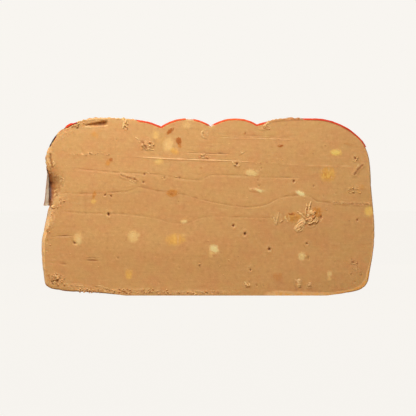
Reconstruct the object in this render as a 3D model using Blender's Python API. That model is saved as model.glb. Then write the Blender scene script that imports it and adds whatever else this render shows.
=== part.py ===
"""A block of gianduja with chopped nuts, cut across a ribbed loaf, with the loaf's thin printed film on top.

Metres, +Z up. X runs across the loaf and Y along it. The cut face that shows looks along -Y, and the
origin is the middle of the flat base. Places on the cut face are (x, z) in millimetres from there.
"""

import math
import random

import bmesh
import bpy
import numpy as np
from mathutils import Matrix, Vector, noise

MM = 0.001

# The loaf, in millimetres.
DEPTH = 46.0
FLAT_BASE = (-32.0, 46.0)
VALLEYS = ((-18.3, 65.5), (1.0, 65.8), (19.1, 66.4))
RIB_CREST = 68.7
# The sides, from the end of the flat base, up over the shoulder, to the first valley between the ribs.
RIGHT_SIDE = (
    (46.0, 0.0), (54.0, 0.8), (60.0, 2.4), (62.3, 4.8), (63.4, 9.2), (65.2, 22.5), (64.1, 40.8), (62.5, 55.0),
    (59.9, 60.2), (53.0, 65.7), (46.0, 68.2), (38.5, 68.7), (29.6, 68.4), (24.0, 67.7), (19.1, 66.4),
)
LEFT_SIDE = (
    (-32.0, 0.0), (-44.5, 0.9), (-58.0, 1.9), (-63.2, 3.6), (-64.3, 8.0), (-65.2, 20.5), (-64.1, 27.0),
    (-62.6, 35.0), (-62.5, 46.0), (-62.4, 55.0), (-60.1, 60.9), (-54.4, 65.9), (-46.0, 68.3), (-37.0, 68.7),
    (-27.0, 68.0), (-22.4, 67.2), (-18.3, 65.5),
)
SPAN_STEPS = 3
RIB_STEPS = 9
BASE_STEPS = 6

# The rim where the cut meets the moulded skin: how far it draws in, by the angle seen from the block's middle.
MIDDLE = (0.0, 34.0)
RIM_ANGLE = (-168.0, -151.0, -90.0, -26.0, 0.0, 22.0, 31.0, 60.0, 149.0, 160.0, 174.0, 181.0)
RIM_INSET = (1.2, 1.4, 1.6, 1.9, 0.6, 0.8, 1.0, 0.9, 0.8, 0.6, 1.0, 2.4)
BACK_INSET = 0.9
RIM_SLOPE = 1.6
RIM_SPARE = 1.2

# The cut faces: a grid with low waves, longest along the knife's stroke.
FRONT_CELLS, BACK_CELLS = (36, 29), (20, 12)
SLAB_HALF_WIDTH = 70.2
SLAB_BOTTOM, SLAB_TOP = -4.0, 75.6
WAVE_HEIGHT, WAVE_LENGTH, WAVE_BREADTH = 0.35, 34.0, 13.0
FRONT_SEED, BACK_SEED = 2.0, 17.0

# The film. A real one is 0.05 mm thick, and here it has the least that a solid of this size can carry.
FILM_GAP = 0.3
FILM_THICK = 0.3
FILM_LEFT_FOOT, FILM_RIGHT_FOOT = 34.6, 57.6
FILM_EDGE = 0.7
FILM_TUCKED_EDGE = 2.7
# Where the cut chocolate is smeared over the film's edge, by the angle from the middle of the block.
TUCKS = ((127.0, 151.5), (156.0, 171.0), (40.0, 57.0))
TUCK_BLEND = 1.5
FLAP_TOP, FLAP_BACK = 48.5, -9.0
FLAP_FLARE = 1.25
FILM_STATIONS = (5.0, 9.5, 16.0, 26.0, 36.0)
CRINKLE = 0.16

# Ridges that the knife dragged up across the cut face, and how they lie in it.
RIDGES = (
    ((-53.4, 55.4), (-42.0, 54.8), (-29.3, 54.1), (-14.8, 53.3), (-1.2, 52.8), (9.4, 52.4), (21.1, 51.8)),
    ((30.0, 51.1), (40.0, 50.6), (53.0, 50.2)),
    ((-6.0, 55.8), (2.0, 55.7), (9.4, 55.4)),
    ((3.0, 62.9), (16.4, 62.4), (33.2, 61.7)),
    ((-51.8, 49.6), (-35.9, 48.0), (-20.0, 47.2), (-7.6, 45.2), (-2.3, 45.2), (0.4, 46.8), (10.1, 47.0),
     (18.9, 46.3), (34.7, 45.9), (45.2, 45.9)),
    ((-56.0, 39.9), (-47.3, 39.7), (-35.9, 40.3), (-31.4, 40.6), (-27.0, 42.3), (-20.0, 40.9), (-9.4, 39.5),
     (-2.3, 37.4), (6.5, 35.5), (15.3, 34.4), (22.4, 35.3), (27.7, 37.9), (33.0, 39.0), (39.2, 38.8),
     (42.7, 36.8), (48.0, 36.2), (62.0, 35.7)),
    ((-56.2, 32.8), (-46.5, 32.1), (-34.1, 31.8), (-27.0, 31.1), (-20.0, 30.0), (-14.7, 28.4), (-7.6, 28.4),
     (-3.2, 30.2), (3.0, 30.9), (11.8, 30.6), (24.2, 30.2)),
    ((-61.5, 22.9), (-52.7, 23.4)),
    ((-62.4, 13.0), (-53.5, 12.1)),
)
RIDGE_RADIUS, RIDGE_SUNK = 0.42, 0.12
RIDGE_STEP = 3.2

# Chopped nuts that the knife went through: (x, z, width, height, turn in degrees).
NUTS = (
    (-20.4, 63.2, 2.6, 2.6, 0), (-14.9, 64.2, 2.8, 1.3, 40), (-15.7, 58.7, 3.6, 4.6, -10),
    (-11.5, 59.9, 2.0, 3.1, 15), (-12.9, 56.2, 2.9, 2.1, -20), (-8.2, 66.2, 2.6, 2.2, 0),
    (-44.2, 63.0, 2.3, 1.8, -35), (-19.1, 52.2, 3.1, 2.2, 0), (-39.0, 52.3, 2.2, 1.8, 40),
    (-44.7, 37.2, 2.0, 2.6, 15), (-13.8, 40.1, 3.8, 2.6, 0), (17.4, 47.8, 4.2, 2.4, 5),
    (50.3, 55.8, 3.8, 2.2, 0), (46.8, 47.3, 4.8, 4.6, 20), (36.1, 39.8, 3.4, 1.5, -25),
    (20.0, 41.2, 2.0, 1.3, 0), (-50.9, 21.9, 2.9, 4.1, -10), (-42.8, 24.2, 3.0, 2.3, 0),
    (-29.0, 23.0, 4.0, 3.7, 0), (-12.9, 21.9, 5.8, 3.7, 5), (-9.5, 28.7, 1.8, 1.2, 0),
    (2.1, 17.7, 3.0, 3.6, -10), (-30.7, 8.3, 2.6, 3.3, -15), (37.0, 15.1, 3.0, 3.0, 0),
    (27.1, 7.5, 3.6, 3.1, 0), (47.5, 7.8, 2.0, 3.4, 0), (62.0, 32.8, 2.8, 3.2, 0),
    (33.0, 30.5, 4.2, 2.5, 0), (42.1, 31.8, 2.6, 3.6, -20), (54.8, 59.0, 3.0, 1.1, -8),
    (28.2, 58.3, 1.9, 0.9, 0), (60.0, 42.4, 2.0, 1.6, 0),
)
NUT_PROUD = 0.3
BACK_NUTS = 22

# Air holes: (x, z, diameter).
PORES = (
    (9.9, 27.2, 0.9), (14.4, 24.2, 1.2), (23.9, 18.1, 1.1), (38.6, 20.4, 0.9), (16.5, 10.1, 0.8),
    (11.2, 51.5, 0.9), (33.5, 44.5, 1.0), (14.4, 63.2, 0.8), (-38.8, 31.8, 1.1), (-40.1, 39.2, 0.8),
    (-24.7, 47.3, 1.0), (-25.4, 44.1, 0.9), (57.5, 53.5, 1.0), (58.3, 29.5, 0.8),
)
PORE_DEPTH = 0.7

# Grooves torn into the face: (start, end, width, depth).
GROOVES = (
    ((-47.8, 66.1), (-39.7, 66.9), 1.5, 1.1),
    ((-33.4, 46.9), (-28.4, 45.0), 0.9, 0.6),
    ((57.5, 48.5), (60.9, 51.9), 0.6, 0.5),
    ((-61.6, 51.2), (-61.0, 54.9), 1.1, 1.2),
)

# The bite that is missing at the left rim, next to the film's loose flap: centre, half sizes, turn.
BITE = ((-62.9, 42.6), (4.6, 3.0, 8.3), 12.0)

# Splinters and curls that the knife lifted: (start, end, width), in two bunches, then others.
SPLINTERS = (
    ((25.7, 31.0), (27.0, 27.3), 0.8), ((27.0, 27.4), (29.3, 33.0), 0.6), ((28.2, 28.6), (30.0, 29.8), 0.8),
    ((30.4, 30.9), (32.1, 28.2), 0.8), ((34.7, 32.6), (38.3, 29.3), 0.8), ((38.3, 29.6), (34.7, 24.9), 0.8),
    ((38.2, 35.1), (38.0, 30.2), 0.7), ((40.3, 35.8), (38.9, 31.5), 0.7), ((38.0, 30.6), (40.4, 28.0), 0.9),
    ((-25.7, 60.4), (-22.4, 57.5), 0.6), ((-33.4, 65.4), (-31.6, 67.0), 0.7), ((35.4, 6.4), (35.6, 3.5), 1.1),
    ((-60.1, 38.9), (-57.2, 41.9), 0.7), ((-59.9, 37.0), (-56.6, 38.6), 0.6), ((-57.6, 46.4), (-56.0, 44.4), 0.6),
    ((13.2, 55.5), (14.3, 56.8), 0.5), ((-1.8, 62.2), (-1.2, 64.3), 0.6),
)
SPLINTER_PROUD = 0.55

# Crumbs: clumps as (x, z, spread along x, spread along z, count, size).
CRUMB_CLUMPS = (
    (40.3, 31.2, 1.6, 2.2, 5, 1.1), (36.3, 27.4, 1.2, 1.2, 3, 1.0), (-23.6, 58.4, 2.0, 1.2, 4, 0.8),
    (-51.0, 55.3, 3.6, 0.4, 4, 0.5), (21.3, 65.4, 1.6, 0.8, 3, 0.7), (-58.4, 6.4, 2.4, 1.8, 7, 0.9),
    (-20.0, 2.4, 27.0, 0.5, 16, 0.8), (-57.6, 35.6, 1.5, 1.2, 4, 0.8), (-2.0, 54.4, 1.4, 0.5, 3, 0.5),
    (11.2, 51.0, 0.8, 0.7, 3, 0.5), (56.5, 41.6, 2.6, 1.2, 3, 0.7), (34.8, 55.0, 14.0, 6.0, 4, 0.5),
)

# Smears of cut chocolate that stand up over the film's edge: outlines in the plane of the cut.
TOP_LEFT_SMEAR = (
    (-53.6, 66.0), (-46.0, 66.3), (-38.0, 66.9), (-29.8, 66.8), (-29.8, 68.5), (-32.6, 68.7), (-34.4, 69.2),
    (-38.0, 69.0), (-43.0, 68.8), (-45.8, 69.2), (-47.4, 68.5), (-48.8, 67.9), (-50.6, 68.3), (-52.6, 67.8),
)
TOP_RIGHT_SMEAR = (
    (25.3, 67.0), (31.0, 67.2), (37.0, 67.4), (37.0, 69.1), (33.0, 69.2), (29.4, 69.0), (26.6, 68.5),
)
LEFT_SMEAR = (
    (-62.0, 56.2), (-62.9, 56.8), (-63.5, 53.5), (-63.6, 50.4), (-62.9, 47.4), (-61.9, 47.9), (-61.7, 51.5),
)
SMEAR_FRONT, SMEAR_BACK = 0.25, 2.0


# ------------------------------------------------------------------ the loaf's outline

def smooth_through(points, steps):
    """A smooth line through points, by the centripetal Catmull-Rom rule, with steps pieces to a span."""
    knots = [Vector(p) for p in points]
    knots = [2 * knots[0] - knots[1], *knots, 2 * knots[-1] - knots[-2]]
    line = []
    for p0, p1, p2, p3 in zip(knots, knots[1:], knots[2:], knots[3:]):
        t1 = math.sqrt((p1 - p0).length)
        t2 = t1 + math.sqrt((p2 - p1).length)
        t3 = t2 + math.sqrt((p3 - p2).length)
        for step in range(steps):
            t = t1 + (t2 - t1) * step / steps
            a1 = p0.lerp(p1, t / t1)
            a2 = p1.lerp(p2, (t - t1) / (t2 - t1))
            a3 = p2.lerp(p3, (t - t2) / (t3 - t2))
            b1 = a1.lerp(a2, t / t2)
            b2 = a2.lerp(a3, (t - t1) / (t3 - t1))
            line.append(b1.lerp(b2, (t - t1) / (t2 - t1)))
    return [*line, Vector(points[-1])]


def rib_arc(start, end, crest, steps):
    """The arc of a circle over one rib, from valley to valley, without its last point."""
    half = (end[0] - start[0]) / 2
    rise = crest - (start[1] + end[1]) / 2
    radius = (half * half + rise * rise) / (2 * rise)
    points = []
    for step in range(steps):
        share = step / steps
        across = half * (2 * share - 1)
        arc = math.sqrt(radius * radius - across * across) - (radius - rise)
        level = start[1] + (end[1] - start[1]) * share
        points.append(Vector((start[0] + (end[0] - start[0]) * share, level + arc)))
    return points


def loaf_outline():
    """The loaf's section as (x, z) points, anticlockwise as the cut face shows it."""
    flat = [Vector((x, 0.0)) for x in np.linspace(*FLAT_BASE, BASE_STEPS + 1)[:-1]]
    right = smooth_through(RIGHT_SIDE, SPAN_STEPS)[:-1]
    ribs = []
    for start, end in zip(VALLEYS[::-1], VALLEYS[-2::-1]):
        ribs += rib_arc(start, end, RIB_CREST, RIB_STEPS)
    left = smooth_through(LEFT_SIDE, SPAN_STEPS)[::-1][:-1]
    return flat + right + ribs + left


def outward(points):
    """The outward unit normal at each point of a closed anticlockwise outline."""
    found = []
    for before, after in zip([points[-1], *points[:-1]], [*points[1:], points[0]]):
        along = (after - before).normalized()
        found.append(Vector((along.y, -along.x)))
    return found


def angle_of(point):
    return math.degrees(math.atan2(point[1] - MIDDLE[1], point[0] - MIDDLE[0]))


def rim_inset(point):
    return float(np.interp(angle_of(point), RIM_ANGLE, RIM_INSET, period=360))


def inset_at(point, y):
    """How far the skin draws in at a point of the outline, for a place y along the loaf."""
    front = rim_inset(point) - (y + DEPTH / 2) / RIM_SLOPE
    back = BACK_INSET - (DEPTH / 2 - y) / RIM_SLOPE
    return max(front, back, 0.0)


# ------------------------------------------------------------------ the cut faces

def wave(x, z, seed):
    return WAVE_HEIGHT * noise.noise(Vector((x / WAVE_LENGTH, z / WAVE_BREADTH, seed)))


def on_front(x, z, out=0.0):
    """A point of the front cut face, or out in front of it, in metres."""
    return Vector((x, -DEPTH / 2 - wave(x, z, FRONT_SEED) - out, z)) * MM


def on_back(x, z, out=0.0):
    return Vector((x, DEPTH / 2 + wave(x, z, BACK_SEED) + out, z)) * MM


# ------------------------------------------------------------------ making objects

def clear_scene():
    for obj in list(bpy.data.objects):
        bpy.data.objects.remove(obj)


def collection_named(name):
    made = bpy.data.collections.new(name)
    bpy.context.scene.collection.children.link(made)
    return made


def add_object(name, bm, collection=None):
    """An object of the bmesh, its faces turned outwards."""
    bmesh.ops.recalc_face_normals(bm, faces=bm.faces)
    mesh = bpy.data.meshes.new(name)
    bm.to_mesh(mesh)
    bm.free()
    obj = bpy.data.objects.new(name, mesh)
    (collection or bpy.context.scene.collection).objects.link(obj)
    return obj


def material(name, colour, roughness, metallic=0.0):
    made = bpy.data.materials.new(name)
    made.use_nodes = True
    shader = made.node_tree.nodes["Principled BSDF"]
    shader.inputs["Base Color"].default_value = (*colour, 1.0)
    shader.inputs["Roughness"].default_value = roughness
    shader.inputs["Metallic"].default_value = metallic
    return made


def boolean(obj, other, operation, solver="EXACT"):
    """Applies one Boolean with an object or a whole collection, and removes what it used."""
    modifier = obj.modifiers.new(operation.title(), "BOOLEAN")
    modifier.operation = operation
    modifier.solver = solver
    if isinstance(other, bpy.types.Collection):
        modifier.operand_type = "COLLECTION"
        modifier.collection = other
    else:
        modifier.object = other
    bpy.context.view_layer.objects.active = obj
    with bpy.context.temp_override(object=obj, active_object=obj, selected_objects=[obj]):
        bpy.ops.object.modifier_apply(modifier=modifier.name)
    if isinstance(other, bpy.types.Collection):
        for used in list(other.objects):
            bpy.data.objects.remove(used)
        bpy.data.collections.remove(other)
    else:
        bpy.data.objects.remove(other)


def loft(bm, rings):
    """Closed rings of points joined one to the next, with a cap at either end."""
    rows = [[bm.verts.new(p) for p in ring] for ring in rings]
    for near, far in zip(rows, rows[1:]):
        for i in range(len(near)):
            j = (i + 1) % len(near)
            bm.faces.new((near[i], near[j], far[j], far[i]))
    bm.faces.new(rows[0])
    bm.faces.new(rows[-1])


# ------------------------------------------------------------------ the block

def loaf_body():
    """The moulded loaf, a little longer than the block, with its rims drawn in at both cuts."""
    points = loaf_outline()
    normals = outward(points)
    widest = max(RIM_INSET) * RIM_SLOPE
    half = DEPTH / 2
    stations = (
        -half - RIM_SPARE, -half + 0.35 * widest, -half + 0.6 * widest, -half + widest, 0.0,
        half - BACK_INSET * RIM_SLOPE, half + RIM_SPARE,
    )
    rings = []
    for y in stations:
        ring = []
        for point, normal in zip(points, normals):
            drawn = point - normal * inset_at(point, y)
            ring.append(Vector((drawn.x, y, drawn.y)) * MM)
        rings.append(ring)
    bm = bmesh.new()
    loft(bm, rings)
    return add_object("gianduja_block", bm)


def cut_slab():
    """A slab as deep as the block, whose two sides are the cut faces and whose walls are flat."""
    bm = bmesh.new()
    borders = []
    for place, (columns, rows) in ((on_front, FRONT_CELLS), (on_back, BACK_CELLS)):
        across = np.linspace(-SLAB_HALF_WIDTH, SLAB_HALF_WIDTH, columns + 1)
        up = np.linspace(SLAB_BOTTOM, SLAB_TOP, rows + 1)
        grid = [[bm.verts.new(place(x, z)) for x in across] for z in up]
        for low, high in zip(grid, grid[1:]):
            for i in range(columns):
                bm.faces.new((low[i], low[i + 1], high[i + 1], high[i]))
        borders.append((grid[0], [row[-1] for row in grid], grid[-1], [row[0] for row in grid]))
    for front, back in zip(*borders):
        bm.faces.new([*front, *reversed(back)])
    return add_object("cut_slab", bm)


def lump(name, centre, half_sizes, turn, collection, detail, roughness, seed):
    """A knobbly closed lump about a point of the cut face, turned in the face's plane by turn degrees."""
    bm = bmesh.new()
    bmesh.ops.create_icosphere(bm, subdivisions=detail, radius=1.0)
    turned = Matrix.Rotation(math.radians(-turn), 3, "Y")
    for vert in bm.verts:
        swell = 1.0 + roughness * noise.noise(vert.co * 1.7 + Vector((seed * 3.1, seed, 0.0)))
        vert.co = turned @ Vector(vert.co[i] * half_sizes[i] * MM * swell for i in range(3)) + centre
    return add_object(name, bm, collection)


def add_nuts(bits):
    for number, (x, z, width, height, turn) in enumerate(NUTS):
        lump("nut", on_front(x, z), (width / 2, NUT_PROUD, height / 2), turn, bits, 1, 0.5, number)
    chance = random.Random(5)
    for number in range(BACK_NUTS):
        x = chance.uniform(-56, 56)
        z = chance.uniform(5, 62)
        sizes = (chance.uniform(0.9, 2.4), NUT_PROUD, chance.uniform(0.8, 1.9))
        lump("back_nut", on_back(x, z), sizes, chance.uniform(0, 180), bits, 1, 0.5, number + 60)


def add_ridge(points, bits):
    """A low ridge: a four-sided rod along a smooth line, sunk until only its crest shows."""
    length = sum(math.dist(a, b) for a, b in zip(points, points[1:]))
    steps = max(1, round(length / RIDGE_STEP / (len(points) - 1)))
    line = smooth_through(points, steps)
    rings = []
    for number, point in enumerate(line):
        at_end = number in (0, len(line) - 1)
        radius = RIDGE_RADIUS * (0.4 if at_end else 1.0)
        ring = []
        for corner in range(4):
            angle = corner * math.pi / 2
            ring.append(on_front(point.x, point.y + radius * math.cos(angle),
                                 radius * math.sin(angle) - RIDGE_SUNK))
        rings.append(ring)
    bm = bmesh.new()
    loft(bm, rings)
    add_object("ridge", bm, bits)


def spindle(name, start, end, width, height, below, collection):
    """A six-sided body that is widest in its middle and pointed at both ends, lying in the cut face."""
    start, end = Vector(start), Vector(end)
    along = (end - start).normalized()
    side = Vector((-along.y, along.x))
    bm = bmesh.new()
    tips = [bm.verts.new(on_front(*p, out=height * 0.2)) for p in (start, end)]
    middles = []
    for share, scale in ((0.25, 0.8), (0.7, 1.0)):
        middle = start.lerp(end, share)
        edge = side * width / 2 * scale
        corners = (
            on_front(*(middle + edge), out=-0.1), on_front(*middle, out=height * scale),
            on_front(*(middle - edge), out=-0.1), on_front(*middle, out=-below),
        )
        middles.append([bm.verts.new(c) for c in corners])
    for i in range(4):
        j = (i + 1) % 4
        bm.faces.new((tips[0], middles[0][i], middles[0][j]))
        bm.faces.new((middles[0][i], middles[1][i], middles[1][j], middles[0][j]))
        bm.faces.new((tips[1], middles[1][j], middles[1][i]))
    return add_object(name, bm, collection)


def add_crumbs(bits):
    chance = random.Random(11)
    for x, z, spread_x, spread_z, count, size in CRUMB_CLUMPS:
        for _ in range(count):
            place = on_front(x + chance.uniform(-1, 1) * spread_x, z + chance.uniform(-1, 1) * spread_z)
            half = size * chance.uniform(0.35, 0.6)
            sizes = (half * chance.uniform(0.8, 1.5), half * 0.8, half)
            lump("crumb", place, sizes, chance.uniform(0, 180), bits, 1, 0.6, chance.uniform(0, 50))


def add_smear(outline, bits):
    """A lip of smeared chocolate at the rim: its outline in the plane of the cut, pulled back along Y."""
    bm = bmesh.new()
    rings = []
    for y in (-DEPTH / 2 - SMEAR_FRONT, -DEPTH / 2 + SMEAR_BACK):
        rings.append([Vector((x, y, z)) * MM for x, z in outline])
    loft(bm, rings)
    bmesh.ops.triangulate(bm, faces=[f for f in bm.faces if len(f.verts) > 4])
    add_object("smear", bm, bits)


def add_hollows(cuts):
    """Everything that is missing from the cut face: air holes, torn grooves and the bite at the left."""
    for number, (x, z, wide) in enumerate(PORES):
        lump("pore", on_front(x, z), (wide / 2, PORE_DEPTH, wide / 2), 0, cuts, 1, 0.2, number)
    for start, end, width, depth in GROOVES:
        spindle("groove", start, end, width, 1.0, depth, cuts)
    centre, half_sizes, turn = BITE
    lump("bite", on_front(*centre), half_sizes, turn, cuts, 2, 0.35, 4)


def gianduja_block():
    block = loaf_body()
    boolean(block, cut_slab(), "INTERSECT")
    cuts = collection_named("cuts")
    add_hollows(cuts)
    boolean(block, cuts, "DIFFERENCE")
    bits = collection_named("bits")
    add_nuts(bits)
    for points in RIDGES:
        add_ridge(points, bits)
    for start, end, width in SPLINTERS:
        spindle("splinter", start, end, width, SPLINTER_PROUD, 0.4, bits)
    add_crumbs(bits)
    for outline in (TOP_LEFT_SMEAR, TOP_RIGHT_SMEAR, LEFT_SMEAR):
        add_smear(outline, bits)
    boolean(block, bits, "UNION")
    block.data.materials.clear()
    block.data.materials.append(material("gianduja", (0.62, 0.37, 0.16), 0.5))
    return block


# ------------------------------------------------------------------ the film

def tucked(angle):
    """From 0 where the film's edge shows to 1 where smeared chocolate covers it."""
    most = 0.0
    for low, high in TUCKS:
        inside = min(angle - low, high - angle)
        most = max(most, min(1.0, 0.5 + inside / TUCK_BLEND))
    return most


def flare(point, y):
    """How far the loose flap at the left stands off the side of the block."""
    if point.x > 0 or point.y > FLAP_TOP or y > FLAP_BACK:
        return 0.0
    down = (FLAP_TOP - point.y) / (FLAP_TOP - FILM_LEFT_FOOT)
    forward = (FLAP_BACK - y) / (FLAP_BACK + DEPTH / 2)
    return FLAP_FLARE * down * forward ** 1.5


def film_stations(point):
    """The places along Y of one strip of film: its edges, where the skin bends at the rims, and between."""
    edge = FILM_EDGE + (FILM_TUCKED_EDGE - FILM_EDGE) * max(0.0, tucked(angle_of(point)))
    bend = max(edge + 0.3, rim_inset(point) * RIM_SLOPE)
    back = DEPTH - BACK_INSET * RIM_SLOPE
    stations = (edge, bend, bend + 0.8, *FILM_STATIONS, back, DEPTH - FILM_EDGE)
    return [station - DEPTH / 2 for station in stations]


def film_cap():
    """The film over the ribs and shoulders, as one thin shell with an inner and an outer skin."""
    outline = loaf_outline()
    covered = []
    for point, normal in zip(outline, outward(outline)):
        foot = FILM_RIGHT_FOOT if point.x > 0 else FILM_LEFT_FOOT
        if point.y >= foot:
            covered.append((point, normal))
    inner, outer = [], []
    for point, normal in covered:
        stations = film_stations(point)
        for skin, lift in ((inner, FILM_GAP), (outer, FILM_GAP + FILM_THICK)):
            row = []
            for y in stations:
                crease = CRINKLE * (1 + noise.noise(Vector((point.x / 5, point.y / 5, y / 9)))) / 2
                out = lift + crease + flare(point, y) - inset_at(point, y)
                place = point + normal * out
                row.append(Vector((place.x, y, place.y)) * MM)
            skin.append(row)
    bm = bmesh.new()
    skins = [[[bm.verts.new(p) for p in row] for row in skin] for skin in (inner, outer)]
    for grid in skins:
        for near, far in zip(grid, grid[1:]):
            for k in range(len(near) - 1):
                bm.faces.new((near[k], near[k + 1], far[k + 1], far[k]))
    borders = []
    for grid in skins:
        borders.append([*grid[0], *(row[-1] for row in grid[1:]), *grid[-1][-2::-1],
                        *(row[0] for row in grid[-2:0:-1])])
    for i in range(len(borders[0])):
        j = (i + 1) % len(borders[0])
        bm.faces.new((borders[0][i], borders[0][j], borders[1][j], borders[1][i]))
    film = add_object("printed_film", bm)
    film.data.materials.append(material("red_film", (0.72, 0.05, 0.02), 0.35))
    film.data.shade_smooth()
    return film


def main():
    clear_scene()
    gianduja_block()
    film_cap()


main()
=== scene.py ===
"""The looks of a cut block of gianduja: its two cut faces with chopped nuts and knife marks, its moulded
skin, and the printed film that is left over its ribs and shoulders.

Places on the cut faces are (x, z) in millimetres from the middle of the base, and the front face looks
along -Y.
"""

import math
import random

import bpy
import numpy as np
from mathutils import Matrix, Vector, noise


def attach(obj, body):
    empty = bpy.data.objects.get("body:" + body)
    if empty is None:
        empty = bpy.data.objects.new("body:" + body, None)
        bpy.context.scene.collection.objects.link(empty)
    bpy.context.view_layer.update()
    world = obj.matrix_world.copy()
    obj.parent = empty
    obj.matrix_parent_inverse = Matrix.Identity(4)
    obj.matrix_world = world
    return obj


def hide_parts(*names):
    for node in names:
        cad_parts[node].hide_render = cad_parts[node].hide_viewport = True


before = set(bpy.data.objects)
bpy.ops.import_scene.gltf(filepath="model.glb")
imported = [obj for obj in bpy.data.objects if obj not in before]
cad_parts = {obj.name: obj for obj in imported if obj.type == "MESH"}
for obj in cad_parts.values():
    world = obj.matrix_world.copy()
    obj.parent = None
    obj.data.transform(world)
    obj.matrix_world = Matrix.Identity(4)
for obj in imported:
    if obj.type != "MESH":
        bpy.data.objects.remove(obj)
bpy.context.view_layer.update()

MM = 0.001

# ------------------------------------------------------------------ the loaf's sizes, in millimetres

DEPTH = 46.0
FRONT, BACK = -DEPTH / 2, DEPTH / 2
FLAT_BASE = (-32.0, 46.0)
RIB_CREST = 68.7
VALLEYS = ((-18.3, 65.5), (1, 65.8), (19.1, 66.4))
RIGHT_SIDE = (
    (46, 0), (54, 0.8), (60, 2.4), (62.3, 4.8), (63.4, 9.2), (65.2, 22.5), (64.1, 40.8), (62.5, 55),
    (59.9, 60.2), (53, 65.7), (46, 68.2), (38.5, 68.7), (29.6, 68.4), (24, 67.7), (19.1, 66.4),
)
LEFT_SIDE = (
    (-32, 0), (-44.5, 0.9), (-58, 1.9), (-63.2, 3.6), (-64.3, 8), (-65.2, 20.5), (-64.1, 27), (-62.6, 35),
    (-62.5, 46), (-62.4, 55), (-60.1, 60.9), (-54.4, 65.9), (-46, 68.3), (-37, 68.7), (-27, 68),
    (-22.4, 67.2), (-18.3, 65.5),
)
SPAN_STEPS, RIB_STEPS, BASE_STEPS = 10, 40, 60
OUTLINE_SPACING = 0.6

# Tables by bearing, in degrees about the middle of the cut face: how far the front rim draws in, where it
# is pale from scraping and brightened by a painted highlight where its bevel would catch light, where the
# film's edge casts a painted shadow on it, and how broad its pale band is.
MIDDLE = (0.0, 34.0)
RIM_INSET = (
    (-168, 1.1), (-151, 0.35), (-90, 0.2), (-50, 0.2), (-36, 0.2), (-31, 0.3), (-26, 0.3), (-20, 0.4),
    (22, 0.35), (31, 0.45), (60, 0.45), (149, 0.45), (162, 0.5), (165, 0.5), (168, 0.5), (176, 0.8),
    (182, 2.1),
)
RIM_PALE_AND_HIGHLIGHT = (
    (-178, 1.3), (-168, 1.5), (-160, 1.2), (-150, 0.4), (-120, 0.3), (-95, 0.3), (-58, 0.2), (-50, 1.8),
    (-40, 1.6), (-36, 1.6), (-31, 2.2), (-24, 2.2), (-18, 1.4), (-8, 0.7), (4, 0.3), (20, 0.35), (26, 0),
    (150, 0), (158, 0.5), (166, 0.5), (168, 0), (178, 0),
)
FILM_EDGE_SHADOW = ((20, 0), (30, 0.45), (52, 0.4), (60, 0), (168, 0), (171, 0.45), (178, 0.3), (180, 0))
RIM_BAND = (
    (-180, 0.8), (-140, 0.8), (-95, 1), (-60, 1), (-50, 2.3), (-40, 1.7), (-34, 1.3), (-31, 2.2),
    (-26, 2.2), (-18, 0.8), (180, 0.8),
)
# Where smears of chocolate cover the film's edge, by bearing, and how far they rise over it.
TUCKS = ((129.5, 146.2), (151, 154), (159, 166), (43.5, 55.5))
TUCK_BLEND = 1.5
LIP_RISE, LIP_DEPTH = 0.75, 2.2
BACK_INSET = 0.9
RIM_SLOPE = 1.6
# How much of the rim's inset the marks on the face keep off.
RIM_COVER = 0.9
# Behind the flap's loose edge the block is hollow and the film clings to it: how deep, how close and where.
FLAP_HOLLOW, FLAP_CLING = 0.50, 0.30
HOLLOW_TOP, HOLLOW_FOOT, HOLLOW_END = (49.5, 46.5), (33.0, 35.0), (9.0, 5.0)
# Where the loaf's skin is drawn, from the front rim and from the back one, and how far apart between them.
FRONT_STATIONS = (-1.2, -0.4, 0.1, 0.6, 1.1, 1.6, 2.1, 2.7, 3.4, 4.2, 5.2, 6.4, 8.0, 10.0)
BACK_STATIONS = (8.4, 6.4, 4.6, 3.2, 2.2, 1.44, 0.8, 0.2, -0.4, -1.2)
STATION_SPACING = 2.0

# The slab that the cut faces are made on: squares of 20 mm, cut finely at the front and coarser behind.
SQUARE = 20.0
SQUARES_ACROSS, SQUARES_UP = 7, 4
SLAB_BOTTOM = -4.0
FRONT_CUTS, BACK_CUTS = 51, 24

# The relief of a cut face: its broad waves, the streaks of the knife, fine roughness and how far nuts rise.
WAVE_HEIGHT, WAVE_LENGTH, WAVE_BREADTH = 0.26, 34.0, 13.0
STREAK_RELIEF, FINE_RELIEF, NUT_RELIEF = 0.015, 0.012, 0.07
# The darkest that painted shade gets before the pores are painted.
DARKEST_SHADE = 0.66
# How far behind a cut face its marks are painted on.
CUT_REACH = 4.5
SPLINTER_THICK, SPLINTER_STEP = 0.16, 0.22
FRONT_SEED, BACK_SEED = 2.0, 17.0
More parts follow.
